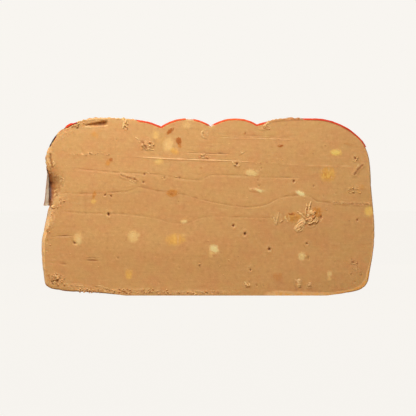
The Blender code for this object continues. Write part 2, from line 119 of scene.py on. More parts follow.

# ------------------------------------------------------------------ what shows in the front cut face

# Lines that the knife dragged: breadth, height, how pale (on a sunken line, a painted highlight on its
# lip), how dark (painted shade in a sunken line), and the points that each runs through.
KNIFE_LINES = (
    (0.3, 0.04, 0.22, 0, ((-53.4, 55.4), (-42, 54.8), (-29.3, 54.1), (-14.8, 53.3), (-1.2, 52.8),
        (9.4, 52.4), (21.1, 51.8), (34, 51.3))),
    (0.3, 0.11, 0.6, 0, ((-27, 54), (-14.8, 53.3), (-1.2, 52.8), (7, 52.55))),
    (0.3, 0.1, 0.4, 0, ((28, 51.3), (40, 50.6), (53, 50.2), (58, 50))),
    (0.4, -0.1, 0.04, 0.5, ((-7, 55.9), (2, 55.7), (9.4, 55.3))),
    (0.45, -0.12, 0.3, 0.4, ((3, 62.9), (16.4, 62.4), (33.2, 61.7))),
    (0.45, -0.06, 0.12, 0.22, ((-51.8, 49.6), (-35.9, 48), (-20, 47.2), (-7.6, 45.2), (-2.3, 45.2),
        (0.4, 46.8), (10.1, 47), (18.9, 46.3), (34.7, 45.9), (45.2, 45.9))),
    (0.5, -0.05, 0.05, 0.28, ((-56, 39.9), (-47.3, 39.7), (-35.9, 40.3), (-31.4, 40.6), (-27, 42.3),
        (-20, 40.9), (-9.4, 39.5), (-2.3, 37.4), (6.5, 35.5), (15.3, 34.4), (22.4, 35.3), (27.7, 37.9),
        (33, 39), (39.2, 38.8), (42.7, 36.8), (48, 36.2), (63.5, 35.6))),
    (0.45, -0.055, 0.1, 0.24, ((-56.2, 32.8), (-46.5, 32.1), (-34.1, 31.8), (-27, 31.1), (-20, 30),
        (-14.7, 28.4), (-7.6, 28.4), (-3.2, 30.2), (3, 30.9), (11.8, 30.6), (24.2, 30.2))),
    (0.4, -0.14, 0.2, 0.45, ((-62, 22.9), (-52.7, 23.4))),
    (0.4, -0.12, 0.2, 0.4, ((-62.6, 13), (-53, 12.1))),
    (0.35, -0.2, 0.25, 0.8, ((-48.3, 13.9), (-42.2, 13.7))),
)
# The knife lines that the grain of the cut follows: how high each would be if it were straight, and its
# place in the table above.
GRAIN_GUIDES = ((22.0, 8), (30.5, 7), (38.5, 6), (46.5, 5), (52.8, 0))

# Nuts that the knife went through: x, z, width, height, turn, tone and strength. Tone runs from ivory at
# -0.3 over cream at 0, yellow at 0.3 and amber at 0.6 to brown at 1. The crispest nuts, from CHIP_STRENGTH
# up, are also modelled as chips.
NUTS = (
    (-20.4, 62.6, 2.4, 3, 0, 0.15, 0.55), (-18.6, 60.6, 3.2, 2.6, 20, 0.45, 0.35),
    (-15.6, 58.8, 3.2, 4.3, -10, -0.05, 0.78), (-8.2, 66.4, 3, 2.2, 0, 0, 0.55),
    (-19.1, 52.3, 3, 2.2, 10, 0.15, 0.6), (-44.6, 36.7, 2, 1.7, 0, 0.3, 0.55),
    (-44.4, 39.4, 1.1, 2.8, -18, 0.8, 0.84), (-50.7, 22.1, 2.8, 3.9, -8, 0, 0.84),
    (-50.5, 21.6, 1.6, 2.2, 0, -0.1, 1), (-42.6, 24.4, 3.2, 2.4, 0, 0.32, 0.2),
    (-29.1, 23, 3.5, 3.4, 20, 0, 1), (2.4, 18.2, 2.8, 2.5, -30, -0.24, 1),
    (1.6, 16.8, 2, 1.6, 40, 0.05, 0.84), (1.2, 15.6, 1.4, 1.4, 0, 0.05, 0.6),
    (17, 47.9, 3.8, 2.1, -6, -0.08, 1), (36.2, 39.8, 3.2, 1.3, -24, -0.3, 1),
    (49.9, 55.8, 3.1, 1.9, 0, 0.22, 1), (36.6, 15.2, 2.2, 2.6, 0, -0.1, 0.95),
    (39, 15.2, 1.4, 2.2, 0, 0.85, 0.12), (47.4, 8.4, 1.5, 1.7, 0, -0.1, 0.8),
    (47.3, 6.5, 1.5, 1.3, 0, -0.05, 0.66), (63, 32.8, 3.2, 3.2, 0, 0.26, 0.7),
    (-9.4, 28.8, 2.1, 1.1, -8, -0.1, 1), (-8.6, 29.6, 3, 2.2, 20, 0.2, 0.3),
    (16.5, 41.5, 1.2, 0.8, -10, -0.1, 0.6), (18.4, 41.6, 1.3, 0.7, 10, -0.2, 0.72),
    (20.2, 40.9, 2.2, 0.9, -18, -0.2, 1), (-44.1, 62.8, 2.6, 2, -35, 0.6, 0.66),
    (-42.3, 64.2, 1.6, 1, 30, 0.75, 0.4), (-13, 56.3, 3, 1.8, -20, 0.48, 0.8),
    (-12.8, 21.9, 5.6, 3.4, 4, 0.46, 0.84), (-9.8, 23.5, 1.4, 1.2, 0, 0.1, 0.5),
    (-12.3, 25.2, 5, 2.4, 0, 0.7, 0.22), (-30.8, 8.4, 2.6, 3.1, -12, 0.44, 0.78),
    (46.8, 47.4, 4.6, 4.4, 15, 0.5, 0.95), (33.2, 30.6, 4.6, 2.9, -4, 0.66, 1),
    (33.4, 30.1, 2.2, 1.2, 20, 0.5, 1), (32.6, 31.7, 2.8, 0.8, 0, 0.95, 0.95),
    (-38.9, 51.9, 2.4, 1.8, 40, 0.72, 0.84), (-37.9, 53, 1.2, 1.4, 0, 0.95, 0.8),
    (-14.7, 64.2, 2.9, 1.3, 42, 1, 1), (-11.4, 60.3, 1.8, 2.4, 14, 1, 1),
    (-11, 58.6, 1.2, 1.6, 0, 0.8, 0.8), (-13.8, 40, 3.8, 2.2, 4, 0.77, 1), (28.3, 58.4, 2, 0.9, 4, 1, 0.9),
    (54.8, 59.1, 3.2, 1, -6, 0.9, 0.45), (42.3, 32.5, 3, 3.6, -20, 0.76, 1),
    (27.2, 7.4, 3.4, 2.9, 0, 0.8, 0.5), (-26.4, 8.9, 1.2, 1.8, 0, 0.9, 0.3),
    (59.8, 42.3, 2.6, 2, 0, 0.62, 0.5), (58.7, 40.6, 1.4, 2, 20, 0.5, 0.45),
    (14.4, 63.3, 1, 0.9, 0, 1, 0.7), (14.4, 40.6, 1, 1, 0, 0.95, 0.35),
    (-2.7, 49.9, 0.9, 0.9, 0, 0.95, 0.45), (33.9, 55.8, 0.9, 0.8, 0, 0.95, 0.3),
    (-36, 37.4, 3.4, 2.6, 0, 0.65, 0.16), (-42, 26, 4, 3, 0, 0.65, 0.12),
)
CHIP_STRENGTH = 0.85

# Air holes: x, z, diameter and how dark their painted shade is.
PORES = (
    (9.9, 27.2, 0.9, 1), (14.4, 24.1, 1.2, 1), (23.9, 18.1, 1.1, 1), (38.6, 20.3, 0.9, 0.9),
    (-38.8, 31.7, 1.1, 1), (11.3, 51.4, 0.9, 1), (-24.7, 47.3, 0.9, 0.8), (-25.2, 44.2, 0.9, 0.8),
    (-16.9, 46, 0.8, 0.7), (-11.1, 46, 0.8, 0.6), (33.5, 44.6, 1, 0.9), (20.8, 49.6, 0.7, 0.6),
    (19.4, 45, 0.7, 0.6), (19.9, 42.9, 0.7, 0.7), (-40.1, 39.2, 0.8, 0.9), (-37.8, 39, 0.8, 0.7),
    (-35.7, 61, 0.7, 0.6), (16.5, 10.1, 0.9, 0.9), (19, 4, 0.7, 0.7), (21.5, 4, 0.7, 0.6),
    (58.3, 29.5, 0.9, 0.8), (49.2, 13.3, 0.7, 0.5), (56.8, 13, 0.9, 0.6), (57.3, 5.5, 0.8, 0.6),
    (57.5, 53.5, 0.9, 0.9), (41.2, 42.8, 0.8, 0.7), (45.1, 38.9, 0.7, 0.5), (49.8, 39.9, 0.7, 0.5),
    (-35.2, 14.7, 0.8, 0.6), (-11.3, 10.9, 0.7, 0.5), (-19, 5.1, 0.6, 0.5), (-10.3, 50.7, 0.6, 0.4),
    (14.6, 63.4, 0.8, 0.7), (44.2, 44.4, 0.7, 0.5), (20.2, 28.9, 0.8, 0.4), (5.8, 29.6, 0.6, 0.4),
)

# Gouges: x, z, half length, half breadth, turn, depth and how dark their painted shade is.
GOUGES = (
    (-43.8, 66.8, 4.5, 0.95, 7, 1.3, 0.52), (-38, 39, 0.8, 0.25, -50, 0.3, 0.6),
    (-61, 40.6, 4, 1.3, 84, 0.25, 0.2), (-52.3, 20.7, 0.9, 0.5, -40, 0.5, 0.8),
    (39.2, 14.6, 0.4, 1.1, 0, 0.4, 0.5), (43.9, 30.4, 0.4, 1.2, -10, 0.5, 0.6),
    (-52, 65.2, 2, 0.3, 14, 0.15, 0.2),
)

# Patches where the paste tore: x, z, half sizes, turn, height of the roughness, how dark (painted shade in
# the sunken bits) and how pale.
TEARS = (
    (-23.9, 58.6, 2.6, 2, -30, 0.3, 0.35, 0.75), (-58.2, 42.6, 2.4, 4.4, 8, 0.18, 0.15, 0.25),
    (-57.4, 37.2, 1.8, 2, 0, 0.2, 0.18, 0.25), (-59.6, 6, 3.6, 3.4, 20, 0.26, 0.38, 0.4),
    (-32.3, 66.5, 1.4, 1.6, 20, 0.18, 0.12, 0.9), (-1.1, 63.2, 1.2, 1.3, 0, 0.24, 0.2, 0.9),
    (40.6, 30.8, 3, 3, -20, 0.2, 0.2, 0.3), (27.6, 29.8, 2.2, 2.2, 0, 0.2, 0.25, 0.35),
    (34.5, 30, 3.6, 2.2, 0, 0.08, 0.1, 0.1), (18.6, 41.2, 3.6, 1, -6, 0.2, 0.3, 0.45),
    (57.5, 41.4, 3.4, 2, -20, 0.14, 0.25, 0.25), (35.6, 5, 1.4, 2.6, 0, 0.1, 0.15, 0.4),
    (-55.5, 62.8, 5, 1.2, 38, 0.16, 0.2, 0.35), (-48.6, 55.3, 7, 1.2, 0, 0.05, 0, 0.85),
    (22.4, 65.2, 2.6, 0.9, 14, 0.22, 0.35, 0.65), (-40.5, 24.4, 3.6, 3, 0, 0.05, 0.1, 0.12),
    (-46, 22.6, 3, 3, 0, 0.06, 0.12, 0.1), (11.5, 51.3, 1.8, 0.9, 10, 0.18, 0.3, 0.7),
    (57.9, 53.3, 1, 1, 0, 0.2, 0.3, 0.6), (-60.9, 30, 1.9, 5, -14, 0.26, 0.4, 0.75),
    (-63.2, 21, 1.2, 5, 0, 0.16, 0.25, 0.5), (15, 4.2, 1.8, 1.3, 0, 0.22, 0.35, 0.55),
    (40, 4.6, 1.1, 1.2, 30, 0.1, 0.12, 0.4), (58, 10.6, 3, 3.4, 0, 0.12, 0.25, 0.22),
    (13.4, 55.9, 1.6, 0.7, 40, 0.16, 0.2, 0.5), (-34, 1.4, 21, 1.5, 0, 0.22, 0.28, 0.75),
    (-4, 1.1, 18, 1.2, 0, 0.22, 0.35, 0.75), (-51, 3, 9, 1.6, -6, 0.2, 0.4, 0.5),
    (-43.5, 68.3, 9, 0.7, 0, 0.08, 0.05, 0.75), (-54.5, 64.6, 4, 0.8, 36, 0.08, 0.08, 0.45),
    (-62.2, 51, 0.8, 5, 0, 0.2, 0.3, 0.6),
)

# The bite that is missing at the left rim: centre, half sizes, turn.
BITES = (((-62.4, 42.8), (6.8, 2.6, 8.0), 8.0),)

# Cracks: half breadth, depth, how dark their painted shade is, and the points that each runs through.
CRACKS = (
    (0.35, 0.5, 0.8, ((-26.3, 60.3), (-25.6, 59.9), (-25.1, 59.4))),
    (0.4, 0.6, 0.9, ((-24.9, 58.9), (-24.4, 58), (-23.6, 57.3))),
    (0.35, 0.5, 0.8, ((-23.8, 58.4), (-22.7, 59.1), (-21.6, 58.9))),
    (0.3, 0.4, 0.7, ((-22.6, 58), (-22, 58.4))), (0.3, 0.4, 0.6, ((-23.5, 60.8), (-22.9, 60.3))),
    (0.45, 0.9, 1.4, ((-61.4, 55), (-61.5, 53.8), (-61.2, 52.5), (-60.9, 51.5))),
    (0.35, 0.7, 1.2, ((-60.8, 50.7), (-60.7, 49.8))),
    (0.4, 0.4, 1.2, ((-33.9, 47), (-32.4, 46.4), (-30.8, 45.9), (-28.6, 45.3))),
    (0.4, 0.4, 1.2, ((-28.9, 45.6), (-27.8, 44.9))),
    (0.3, 0.3, 0.4, ((-32.1, 68.6), (-32.4, 67.5), (-31.8, 66.7))),
    (0.3, 0.2, 0.25, ((-32.3, 66), (-31.9, 65.1))),
    (0.3, 0.2, 0.3, ((-1.2, 64.2), (-1.2, 62.9), (-1, 61.9))), (0.3, 0.35, 0.6, ((-2, 55), (-1.3, 54.3))),
    (0.3, 0.4, 0.55, ((-57.6, 45.6), (-56.9, 45.2))),
    (0.35, 0.3, 0.45, ((-57.4, 43.8), (-56.8, 43.3), (-56.6, 42.7))),
    (0.35, 0.3, 0.5, ((-60.3, 39.9), (-59.4, 40.3))), (0.3, 0.3, 0.5, ((-60.1, 38.2), (-59, 39.1))),
    (0.3, 0.5, 0.75, ((-57.6, 37.8), (-57.3, 37.1), (-57.3, 36), (-57.2, 35.2))),
    (0.35, 0.5, 0.75, ((-62.2, 7.8), (-61.9, 6.9), (-62.1, 5.9))),
    (0.35, 0.5, 0.8, ((-60.8, 5.5), (-60, 5.9), (-59.1, 5.7), (-58.5, 6.2), (-57.7, 6.8))),
    (0.3, 0.4, 0.7, ((-59.4, 4.8), (-58.5, 5.1))), (0.3, 0.4, 0.6, ((-61.2, 4.7), (-60.5, 4.5))),
    (0.3, 0.5, 0.75, ((-40.7, 2.4), (-39.8, 2.2))), (0.3, 0.5, 0.75, ((-38.4, 1.9), (-37.7, 1.6))),
    (0.3, 0.4, 0.6, ((-34.9, 1.4), (-34, 1.2))), (0.3, 0.4, 0.6, ((-32.5, 1.2), (-31.4, 1))),
    (0.3, 0.15, 0.8, ((56, 35.7), (58.4, 35.6), (60.5, 35.6), (62.8, 35.6))),
    (0.25, 0.05, 0.5, ((49, 36.1), (52.4, 35.9), (56, 35.7))),
    (0.45, 0.15, 1.5, ((60.3, 50.9), (59.2, 50), (58, 48.6), (57.2, 47.2))),
    (0.25, 0.3, 0.6, ((34.3, 5.7), (34.2, 4.1), (34.4, 2.8))),
    (0.3, 0.3, 0.45, ((39.2, 3.2), (40.2, 3.4))), (0.3, 0.3, 0.5, ((38.7, 34.3), (38.8, 32.6))),
    (0.35, 0.4, 0.6, ((37.1, 31.6), (37.8, 30.8))),
    (0.35, 0.4, 0.5, ((38.6, 27.7), (39.6, 27.3), (41, 27.4))),
)

# Splinters and burrs: width, rise, and the points that each runs through. Each also casts a painted shadow
# on the face.
SPLINTERS = (
    (0.55, 0.35, ((25.6, 30.6), (26.1, 29.1), (26.7, 27.3))),
    (0.5, 0.35, ((27.8, 33.1), (27.5, 31.6), (27.2, 30.3), (26.8, 28.5), (26.6, 27.5))),
    (0.5, 0.3, ((29.5, 29.6), (28.7, 28.9), (28.1, 28.4))), (0.4, 0.3, ((24.8, 31.6), (25.2, 30.3))),
    (0.6, 0.35, ((30.1, 31.2), (30.3, 30), (30.8, 29.1), (31.6, 28.5))),
    (0.6, 0.4, ((34.5, 32.9), (35.7, 32.1), (36.9, 31.1), (38.1, 30))),
    (0.5, 0.5, ((38.2, 29.7), (37.9, 28.4), (36.5, 26.8), (34.6, 24.8))),
    (0.55, 0.5, ((38.4, 36), (38.5, 34.7), (38.1, 33.3), (38.1, 31.7), (38.6, 30.7))),
    (0.55, 0.5, ((40.2, 36.9), (39.7, 35.3), (39.4, 33.6), (39.4, 32.2), (39, 30.7))),
    (0.5, 0.45, ((39.4, 33.6), (40.4, 32.1), (41.3, 31.6), (41.6, 32.7))),
    (0.5, 0.5, ((38.8, 30.3), (38.6, 29.1), (39.4, 28.1), (40.7, 28.5), (41.1, 29.7))),
    (0.5, 0.5, ((41.1, 29.7), (42.1, 30.5), (42.9, 29.8), (42.4, 28.5), (41.2, 28))),
    (0.8, 0.55, ((-33.6, 69.3), (-33, 67.9), (-32.7, 66.5), (-33.3, 65.1))),
    (0.6, 0.5, ((-32.6, 66.7), (-32, 66.1), (-31.4, 65.5))),
    (0.7, 0.55, ((-31.7, 69), (-32.1, 68.1), (-32.5, 67.1))),
    (0.75, 0.4, ((-1.7, 64.4), (-2.4, 63.6), (-2.3, 62.2), (-1.6, 61.4))),
    (0.4, 0.25, ((-0.6, 63.4), (-0.3, 62.8), (-0.5, 62.1))),
    (0.5, 0.3, ((-24.5, 56.6), (-23.2, 57.1), (-22, 56.9), (-20.7, 56.6))),
    (0.45, 0.3, ((-28.6, 61.9), (-27.8, 61.3), (-26.9, 60.7))),
    (0.45, 0.3, ((-23.2, 58.2), (-22.5, 57.7), (-21.7, 58))),
    (0.4, 0.3, ((-25, 58.2), (-24.6, 57.3), (-23.9, 56.8))),
    (0.5, 0.25, ((12.6, 55.1), (13.5, 55.7), (14.5, 56.3))),
    (0.45, 0.3, ((-2.9, 54.2), (-2.1, 54.8), (-1.2, 55.1), (-0.4, 54.8))),
    (0.4, 0.25, ((-2.5, 53.7), (-1.6, 53.8), (-0.7, 54.1))),
    (0.42, 0.2, ((-58.7, 46.3), (-58.2, 46.6), (-57.7, 46.4))),
    (0.38, 0.17, ((-57.4, 45.8), (-56.8, 45.9), (-56.2, 45.3))),
    (0.42, 0.12, ((-58.5, 44.5), (-57.6, 44.7), (-56.8, 44.3))),
    (0.42, 0.12, ((-57.6, 40.9), (-56.8, 41.1), (-56.2, 40.9))),
    (0.47, 0.08, ((-60.2, 40.4), (-59.8, 40.9), (-58.8, 41.3))),
    (0.42, 0.1, ((-60.1, 38.9), (-59.7, 39.4), (-58.5, 39.9))),
    (0.42, 0.12, ((-59.9, 37.7), (-58.9, 38.5), (-57.8, 38.9))),
    (0.51, 0.25, ((-58.3, 37.5), (-57.8, 36.7), (-57.9, 35.5))),
    (0.42, 0.2, ((-57, 37.8), (-56.6, 37), (-56.9, 36.3))),
    (0.59, 0.25, ((-61, 34.4), (-60.5, 34.9), (-59.8, 35.1))),
    (0.6, 0.4, ((-62.6, 53.5), (-62.2, 52.1), (-61.6, 50.7), (-61.3, 49.5))),
    (0.5, 0.3, ((-60.4, 52.7), (-60.1, 51.3), (-60.5, 50.2))),
    (0.45, 0.2, ((-31, 45), (-29.9, 44.5), (-28.6, 43.9))), (0.35, 0.15, ((-28.9, 46.3), (-28.3, 46))),
    (0.48, 0.2, ((-52, 3.7), (-50.7, 3.9), (-49.1, 3.7), (-48.2, 3.2))),
    (0.4, 0.2, ((-48.6, 2.6), (-47.6, 2.9), (-46.6, 2.3))),
    (0.48, 0.2, ((-43.7, 3.6), (-42.1, 3.7), (-40.8, 3.4), (-40.3, 2.7))),
    (0.4, 0.2, ((-40.3, 2), (-39.4, 2.7), (-38.5, 2.5))),
    (0.4, 0.2, ((-33.8, 1.8), (-32.4, 2.1), (-31.2, 1.6))),
    (0.48, 0.2, ((-30.7, 1.4), (-29.2, 1.6), (-27.9, 1.6))),
    (0.56, 0.25, ((-24.6, 1.6), (-24.3, 0.8), (-24.6, 0.1))),
    (0.4, 0.2, ((-20.7, 1.7), (-19.5, 2), (-17.9, 1.8))),
    (0.4, 0.15, ((-12.9, 1.4), (-10.9, 1.6), (-8.6, 1.2))),
    (0.4, 0.15, ((-4.7, 1.2), (-2, 1.4), (0.8, 1.1))),
    (0.48, 0.2, ((-57.1, 5.4), (-56.7, 4.8), (-56.6, 4.1))),
    (0.4, 0.2, ((-60.6, 6.2), (-59.7, 6.5), (-58.9, 6.2))),
    (0.5, 0.12, ((-50.6, 65.4), (-47.2, 65.5), (-43.5, 65.6), (-40.2, 65.9))),
    (0.4, 0.25, ((56.3, 52.9), (56.9, 52.4), (57.7, 52.3))),
    (0.4, 0.2, ((54.6, 40.6), (55.5, 40), (56.7, 40.2))),
    (0.4, 0.2, ((56.8, 41.8), (57.9, 41.4), (59.4, 41.6))),
    (0.4, 0.2, ((56.4, 10.5), (57.7, 10.1), (58.9, 10.5))),
    (0.4, 0.2, ((56, 12.1), (57.3, 12.4), (58.5, 11.8))),
    (0.5, 0.3, ((9.3, 52.3), (9.9, 51.5), (10.1, 50.5))),
    (0.4, 0.25, ((-13.1, 45.9), (-12.5, 46.3), (-11.5, 46.1))), (0.4, 0.25, ((-18, 45.6), (-17.5, 46.2))),
    (0.4, 0.25, ((-23.6, 48), (-22.8, 47.4))), (0.6, 0.3, ((21.1, 65.9), (22.5, 66.7), (24.2, 67.3))),
    (1.4, 0.5, ((35.5, 6.6), (35.6, 4.8), (35.4, 3))), (0.6, 0.4, ((14.2, 5.5), (14.7, 4.5), (15.6, 3.8))),
    (0.5, 0.35, ((16, 5.2), (16.1, 4.4), (15.9, 3.6))),
    (0.5, 0.2, ((-51.1, 67.4), (-49.9, 67.9), (-48.8, 67.9))),
    (0.6, 0.2, ((-47.2, 68.3), (-44.3, 68.7), (-41, 68.8), (-38.5, 68.7))),
    (0.5, 0.2, ((-36.4, 68.8), (-35.3, 68.9), (-33.9, 68.7))),
)

# Flakes that lie on the face: rise and outline.
FLAKES = (
    (0.3, ((35.3, 29.4), (37.4, 30), (38.2, 29.1), (37.5, 28.1), (34.6, 25), (33.6, 26), (33.8, 27.1),
        (34.9, 28))),
    (0.35, ((38.8, 30), (39.8, 30.6), (40.7, 30.1), (40.6, 28.9), (39.9, 28.2), (38.9, 28.7))),
    (0.35, ((40.9, 29.6), (41.7, 30.4), (42.7, 30.1), (42.7, 28.9), (41.7, 28.2), (41, 28.5))),
    (0.4, ((39.5, 33), (40.3, 33.3), (41.2, 32.6), (41.3, 31.6), (40.3, 31.2), (39.5, 31.8))),
    (0.35, ((38.5, 32), (39.2, 32.3), (39.6, 31.2), (39.2, 30.4), (38.5, 30.8))),
    (0.15, ((39.2, 4.7), (39.9, 5.2), (40.2, 4.3), (39.6, 3.5), (38.8, 3.7))),
    (0.5, ((-61.2, 34.6), (-60.5, 35.3), (-59.6, 35.1), (-59.7, 34.3), (-60.7, 34))),
    (0.4, ((-60.2, 7.5), (-58.9, 7.9), (-58.1, 7.1), (-58.7, 6.2), (-59.9, 6.3))),
)

# Crumbs: x, z, spread along x and z, how many there are, and their size.
CRUMBS = (
    (40.3, 31.2, 2, 2.6, 12, 0.8), (36.3, 27.4, 1.4, 1.4, 5, 0.6), (-23.6, 58.4, 2.4, 1.6, 12, 0.6),
    (-46, 55.1, 8, 0.5, 12, 0.4), (22, 65.6, 2, 0.6, 7, 0.6), (-58.4, 6.4, 3, 2.2, 14, 0.55),
    (-34, 1.8, 18, 0.9, 60, 0.52), (-8, 1, 16, 0.7, 34, 0.48), (-57.4, 36, 1.5, 1.6, 5, 0.5),
    (-2, 54.4, 1.8, 0.6, 6, 0.5), (11.4, 51.1, 1.2, 0.8, 5, 0.5), (57, 41.4, 2.6, 1.4, 7, 0.5),
    (57.8, 53.3, 0.6, 0.6, 3, 0.5), (34.8, 56, 16, 5, 8, 0.35), (-62.2, 24, 0.8, 8, 12, 0.5),
    (15, 4.2, 1.6, 1, 4, 0.6), (39.8, 4.5, 0.8, 0.8, 1, 0.5), (8.3, 13.8, 0.4, 0.3, 2, 0.5),
    (-3.5, 12.1, 0.4, 0.3, 2, 0.5), (58, 10.6, 2.4, 2.8, 8, 0.45), (-32.2, 66.6, 1.6, 1.6, 7, 0.5),
    (-52, 66.6, 3.6, 0.8, 10, 0.55), (-59.3, 7.3, 0.4, 0.4, 2, 0.9), (19.6, 50, 5, 2.4, 5, 0.35),
    (-12, 33, 50, 30, 26, 0.3), (30, 22, 30, 20, 12, 0.3),
)
CRUMB_KINDS = 4

# ------------------------------------------------------------------ what shows in the back cut face

# How many of each mark are strewn, the tones that its nuts take, and the heights of its knife lines.
BACK_NUTS, BACK_PORES, BACK_GOUGES, BACK_TEARS, BACK_CRUMBS = 22, 34, 7, 9, 90
BACK_TONES = (0.0, 0.1, 0.3, 0.45, 0.6, 0.85, 1.0)
BACK_LINE_LEVELS = (8.0, 22.0, 36.5, 43.0, 49.0, 58.0)
# As GRAIN_GUIDES, for the back face.
BACK_GUIDES = ((22.0, 1), (36.5, 2), (49.0, 4))
# A tear along the foot, in the form of the rows of TEARS.
BACK_FOOT_TEAR = (-20.0, 1.5, 34.0, 1.2, 0, 0.25, 0.4, 0.4)

# ------------------------------------------------------------------ the film's sizes

FILM_THICK, FILM_OFF, FILM_ROWS = 0.08, 0.38, 64
FILM_LEFT_FOOT, FILM_RIGHT_FOOT = 34.6, 57.6
FILM_EDGE, FILM_TUCKED_EDGE, FILM_BACK_EDGE = 0.05, 2.7, 0.7
FILM_CURL = 0.72
FLAP_TOP, FLAP_BACK, FLAP_CURL = 50.0, -9.0, 1.40
CRINKLE, FOLD, WRINKLE, MOST_CRINKLE = 0.16, 0.10, 0.05, 0.18
# Nicks in the film's front edge: from x to x, and how deep.
NICKS = ((-8.4, -5.9, 4.5), (0.4, 2.2, 3.0), (-61.05, -60.75, 1.2))


# ------------------------------------------------------------------ lines and smooth values

def smooth_through(points, steps):
    """A smooth line through points, by the centripetal Catmull-Rom rule, with steps pieces to a span."""
    knots = [Vector(p) for p in points]
    knots = [2 * knots[0] - knots[1], *knots, 2 * knots[-1] - knots[-2]]
    line = []
    for p0, p1, p2, p3 in zip(knots, knots[1:], knots[2:], knots[3:]):
        t1 = math.sqrt((p1 - p0).length)
        t2 = t1 + math.sqrt((p2 - p1).length)
        t3 = t2 + math.sqrt((p3 - p2).length)
        for step in range(steps):
            t = t1 + (t2 - t1) * step / steps
            a1 = p0.lerp(p1, t / t1)
            a2 = p1.lerp(p2, (t - t1) / (t2 - t1))
            a3 = p2.lerp(p3, (t - t2) / (t3 - t2))
            b1 = a1.lerp(a2, t / t2)
            b2 = a2.lerp(a3, (t - t1) / (t3 - t1))
            line.append(b1.lerp(b2, (t - t1) / (t2 - t1)))
    return [*line, Vector(points[-1])]


def knots_of(line, steps):
    """The points of a smooth line, as an array."""
    return np.array([tuple(p) for p in smooth_through(line, steps)])


def run_along(points):
    """How far along a line each of its points lies."""
    return np.concatenate(([0.0], np.cumsum(np.linalg.norm(np.diff(points, axis=0), axis=1))))


def at_run(wanted, run, points):
    """The places on a line that lie wanted far along it."""
    return np.stack([np.interp(wanted, run, points[:, axis]) for axis in (0, 1)], axis=1)


def lumpy(a, b, size_a, size_b, seed):
    """Smooth random values from about -1 to 1 at places (a, b), with lumps of the given sizes."""
    places = zip((a / size_a).tolist(), (b / size_b).tolist())
    return np.array([noise.noise((p, q, seed)) for p, q in places])


def lumps_in(places, size, seed):
    """Smooth random values from about -1 to 1 at places in space, with lumps of the given size."""
    shift = Vector((0.0, 13.7 * seed, 0.0))
    return np.array([noise.noise(Vector(p) / size + shift) for p in places.tolist()])


def fade(values, low, high):
    """From 0 at low to 1 at high, smoothly. low may be the larger."""
    share = np.clip((values - low) / (high - low), 0.0, 1.0)
    return share * share * (3 - 2 * share)


def within(values, start, full, less, end):
    """From 0 at start to 1 at full, and from 1 at less to 0 at end, smoothly."""
    return fade(values, start, full) * fade(values, end, less)


def turned(x, z, centre_x, centre_z, turn):
    """Places as seen from a centre whose first axis is turned by turn degrees."""
    cos, sin = math.cos(math.radians(turn)), math.sin(math.radians(turn))
    return (x - centre_x) * cos + (z - centre_z) * sin, (z - centre_z) * cos - (x - centre_x) * sin


def distance_to(x, z, line, reach):
    """How far each place is from a smooth line, and 99 beyond reach of it."""
    knots = knots_of(line, 4)
    low, high = knots.min(axis=0) - reach, knots.max(axis=0) + reach
    near = (x > low[0]) & (x < high[0]) & (z > low[1]) & (z < high[1])
    places = np.stack((x[near], z[near]), axis=1)
    least = np.full(len(places), 99.0)
    for start, end in zip(knots, knots[1:]):
        span = end - start
        share = np.clip(((places - start) @ span) / (span @ span), 0, 1)
        least = np.minimum(least, np.linalg.norm(places - start - share[:, None] * span, axis=1))
    distance = np.full(x.shape, 99.0)
    distance[near] = least
    return distance


# ------------------------------------------------------------------ the loaf's outline

def rib_arc(start, end, crest, steps):
    """The arc of a circle over one rib, from valley to valley, without its last point."""
    half = (end[0] - start[0]) / 2
    rise = crest - (start[1] + end[1]) / 2
    radius = (half * half + rise * rise) / (2 * rise)
    points = []
    for step in range(steps):
        share = step / steps
        across = half * (2 * share - 1)
        arc = math.sqrt(radius * radius - across * across) - (radius - rise)
        level = start[1] + (end[1] - start[1]) * share
        points.append(Vector((start[0] + (end[0] - start[0]) * share, level + arc)))
    return points


def loaf_outline():
    """The loaf's section as evenly spaced (x, z) points, anticlockwise as the cut face shows it."""
    flat = [Vector((x, 0.0)) for x in np.linspace(*FLAT_BASE, BASE_STEPS + 1)[:-1]]
    right = smooth_through(RIGHT_SIDE, SPAN_STEPS)[:-1]
    ribs = []
    for start, end in zip(VALLEYS[::-1], VALLEYS[-2::-1]):
        ribs += rib_arc(start, end, RIB_CREST, RIB_STEPS)
    left = smooth_through(LEFT_SIDE, SPAN_STEPS)[::-1][:-1]
    closed = np.array([*flat, *right, *ribs, *left, flat[0]])
    run = run_along(closed)
    return at_run(np.linspace(0.0, run[-1], round(run[-1] / OUTLINE_SPACING) + 1)[:-1], run, closed)


def outward(points):
    """The outward unit normal at each point of a closed anticlockwise outline."""
    along = np.roll(points, -1, axis=0) - np.roll(points, 1, axis=0)
    along /= np.linalg.norm(along, axis=1)[:, None]
    return np.stack((along[:, 1], -along[:, 0]), axis=1)


def bearing_of(points):
    return np.degrees(np.arctan2(points[:, 1] - MIDDLE[1], points[:, 0] - MIDDLE[0]))


def by_bearing(table, bearing):
    """The value that a table of bearings and values gives for each bearing."""
    return np.interp(bearing, *zip(*table), period=360)


OUTLINE = loaf_outline()
OUTWARD = outward(OUTLINE)
BEARING = bearing_of(OUTLINE)
RUN = np.arange(len(OUTLINE)) * OUTLINE_SPACING


def tucked(bearing):
    """From 0 where the film's edge shows to 1 where smeared chocolate covers it."""
    most = np.zeros(bearing.shape)
    for low, high in TUCKS:
        inside = np.minimum(bearing - low, high - bearing)
        most = np.maximum(most, np.clip(0.5 + inside / TUCK_BLEND, 0.0, 1.0))
    return most


def back_inset(y):
    """How far the back rim draws in, and below 0 where it doesn't."""
    return BACK_INSET - (BACK - y) / RIM_SLOPE


def flap_share(points):
    """From 0 to 1 where the loose flap of the film hangs beside points of the outline."""
    return (points[:, 0] < 0) * fade(points[:, 1], *HOLLOW_TOP) * fade(points[:, 1], *HOLLOW_FOOT)


